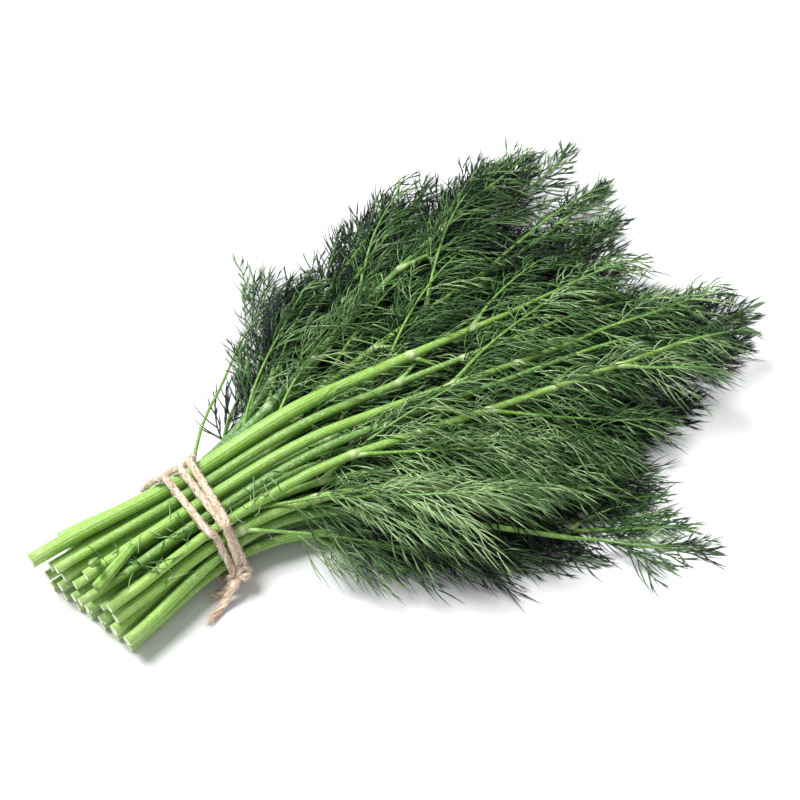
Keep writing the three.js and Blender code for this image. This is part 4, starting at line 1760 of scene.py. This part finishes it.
@dataclass
class Studio:
    """The plain white floor, soft light and camera.

    Lengths in metres, angles in degrees. The tie's height, the lens and the sensor are in millimetres.
    """

    azimuth: float = -33.0
    elevation: float = 58.0
    pixels_per_mm: float = 2.5
    picture: float = 800.0
    tie_in_picture: tuple[float, float] = (203.0, 513.0)
    tie_height: float = 17.0
    lens: float = 150.0
    sensor: float = 36.0
    clip: tuple[float, float] = (0.05, 20.0)
    floor_size: float = 6.0
    floor_drop: float = 0.0001
    floor_colour: tuple[float, float, float, float] = (0.86, 0.86, 0.87, 1.0)
    key_size: float = 2.4
    key_watts: float = 372.0
    key_distance: float = 5.2
    key_left: float = 0.62
    key_behind: float = 0.35
    key_above: float = 1.25
    level_ahead: tuple[float, float, float] = (0.545, 0.839, 0.0)
    sky_colour: tuple[float, float, float, float] = (0.97, 0.98, 1.0, 1.0)
    sky_strength: float = 0.46
    axes: dict[str, Vector] = field(default_factory=dict)

    def build(self) -> None:
        """Builds all of it."""
        a, e = math.radians(self.azimuth), math.radians(self.elevation)
        back = Vector((math.sin(a) * math.cos(e), -math.cos(a) * math.cos(e), math.sin(e)))
        right = Vector((math.cos(a), math.sin(a), 0.0))
        self.axes = {"back": back, "right": right, "up": back.cross(right)}
        self._camera()
        self._floor()
        self._lights()
        bpy.context.scene.view_settings.view_transform = "Standard"

    def _camera(self) -> None:
        """Adds the camera, aimed so that the tie is where the photograph has it."""
        scale = MM / self.pixels_per_mm
        half = self.picture / 2
        aside = (half - self.tie_in_picture[0]) * scale
        above = (self.tie_in_picture[1] - half) * scale
        tie = Vector((LAYOUT.tie_x, LAYOUT.tie_y, self.tie_height)) * MM
        target = tie + self.axes["right"] * aside + self.axes["up"] * above
        distance = self.lens / self.sensor * self.picture * scale
        data = bpy.data.cameras.new("camera")
        data.lens, data.sensor_width = self.lens, self.sensor
        data.clip_start, data.clip_end = self.clip
        camera = bpy.data.objects.new("camera", data)
        camera.location = target + self.axes["back"] * distance
        camera.rotation_mode = "QUATERNION"
        camera.rotation_quaternion = (-self.axes["back"]).to_track_quat("-Z", "Y")
        bpy.context.scene.collection.objects.link(camera)
        bpy.context.scene.camera = camera

    def _floor(self) -> None:
        """Adds the white floor."""
        bpy.ops.object.select_all(action="DESELECT")
        bpy.ops.mesh.primitive_plane_add(size=self.floor_size, location=(0, 0, -self.floor_drop))
        floor = bpy.context.object
        floor.name = "floor"
        bpy.ops.object.transform_apply(location=True)
        finish = Finish("white_paper_sweep", roughness=0.9, ior=1.45)
        finish.shader.inputs["Base Color"].default_value = self.floor_colour
        floor.data.materials.append(finish.material)

    def _lights(self) -> None:
        """Adds a wide key light from the upper left of the picture, and an even white sky."""
        data = bpy.data.lights.new("key", "AREA")
        data.shape, data.size, data.energy = "DISK", self.key_size, self.key_watts
        key = bpy.data.objects.new("key", data)
        behind = Vector(self.level_ahead) * self.key_behind
        above = Vector((0, 0, self.key_above))
        direction = (behind + above - self.axes["right"] * self.key_left).normalized()
        key.location = direction * self.key_distance
        key.rotation_mode = "QUATERNION"
        key.rotation_quaternion = direction.to_track_quat("Z", "Y")
        bpy.context.scene.collection.objects.link(key)
        world = bpy.data.worlds.new("white_sky")
        world.use_nodes = True
        sky = world.node_tree.nodes["Background"]
        sky.inputs[0].default_value = self.sky_colour
        sky.inputs[1].default_value = self.sky_strength
        bpy.context.scene.world = world


def hand_over(piece: bpy.types.Object, node: str) -> None:
    """Lets a piece ride on the bunch and stand for its solid, which it hides.

    Args:
        piece: The new piece.
        node: The solid that it stands for.
    """
    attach(piece, BODY)
    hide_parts(node)


def main() -> None:
    """Builds the bunch and its studio, in order."""
    logging.basicConfig(level=logging.INFO, format="%(message)s")
    studio = Studio()
    studio.build()
    arrangement = Arrangement()
    leaves = sum(map(len, arrangement.leaves.values()))
    LOG.info("laid out %d stalks, %d leaves", len(arrangement.stalks), leaves)
    builder = StemBuilder(arrangement, [DillStalk().make(), DillThread().make(), CutPith().make()])
    total = 0
    for stalk in arrangement.stalks:
        piece, threads = builder.build(stalk)
        hand_over(piece, f"leafy_stem_{stalk.number:02d}")
        total += threads
        LOG.info("%s: %d threads, %d faces", piece.name, threads, len(piece.data.polygons))
    bits = TrimmedBits().build(arrangement.stalks, builder.materials)
    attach(bits, BODY)
    LOG.info("%s: %d faces", bits.name, len(bits.data.polygons))
    twine = TwineTie(arrangement, JuteTwine().make()).build()
    hand_over(twine, "twine_tie")
    LOG.info("%s: %d faces; %d threads in all", twine.name, len(twine.data.polygons), total)


if __name__ == "__main__":
    main()
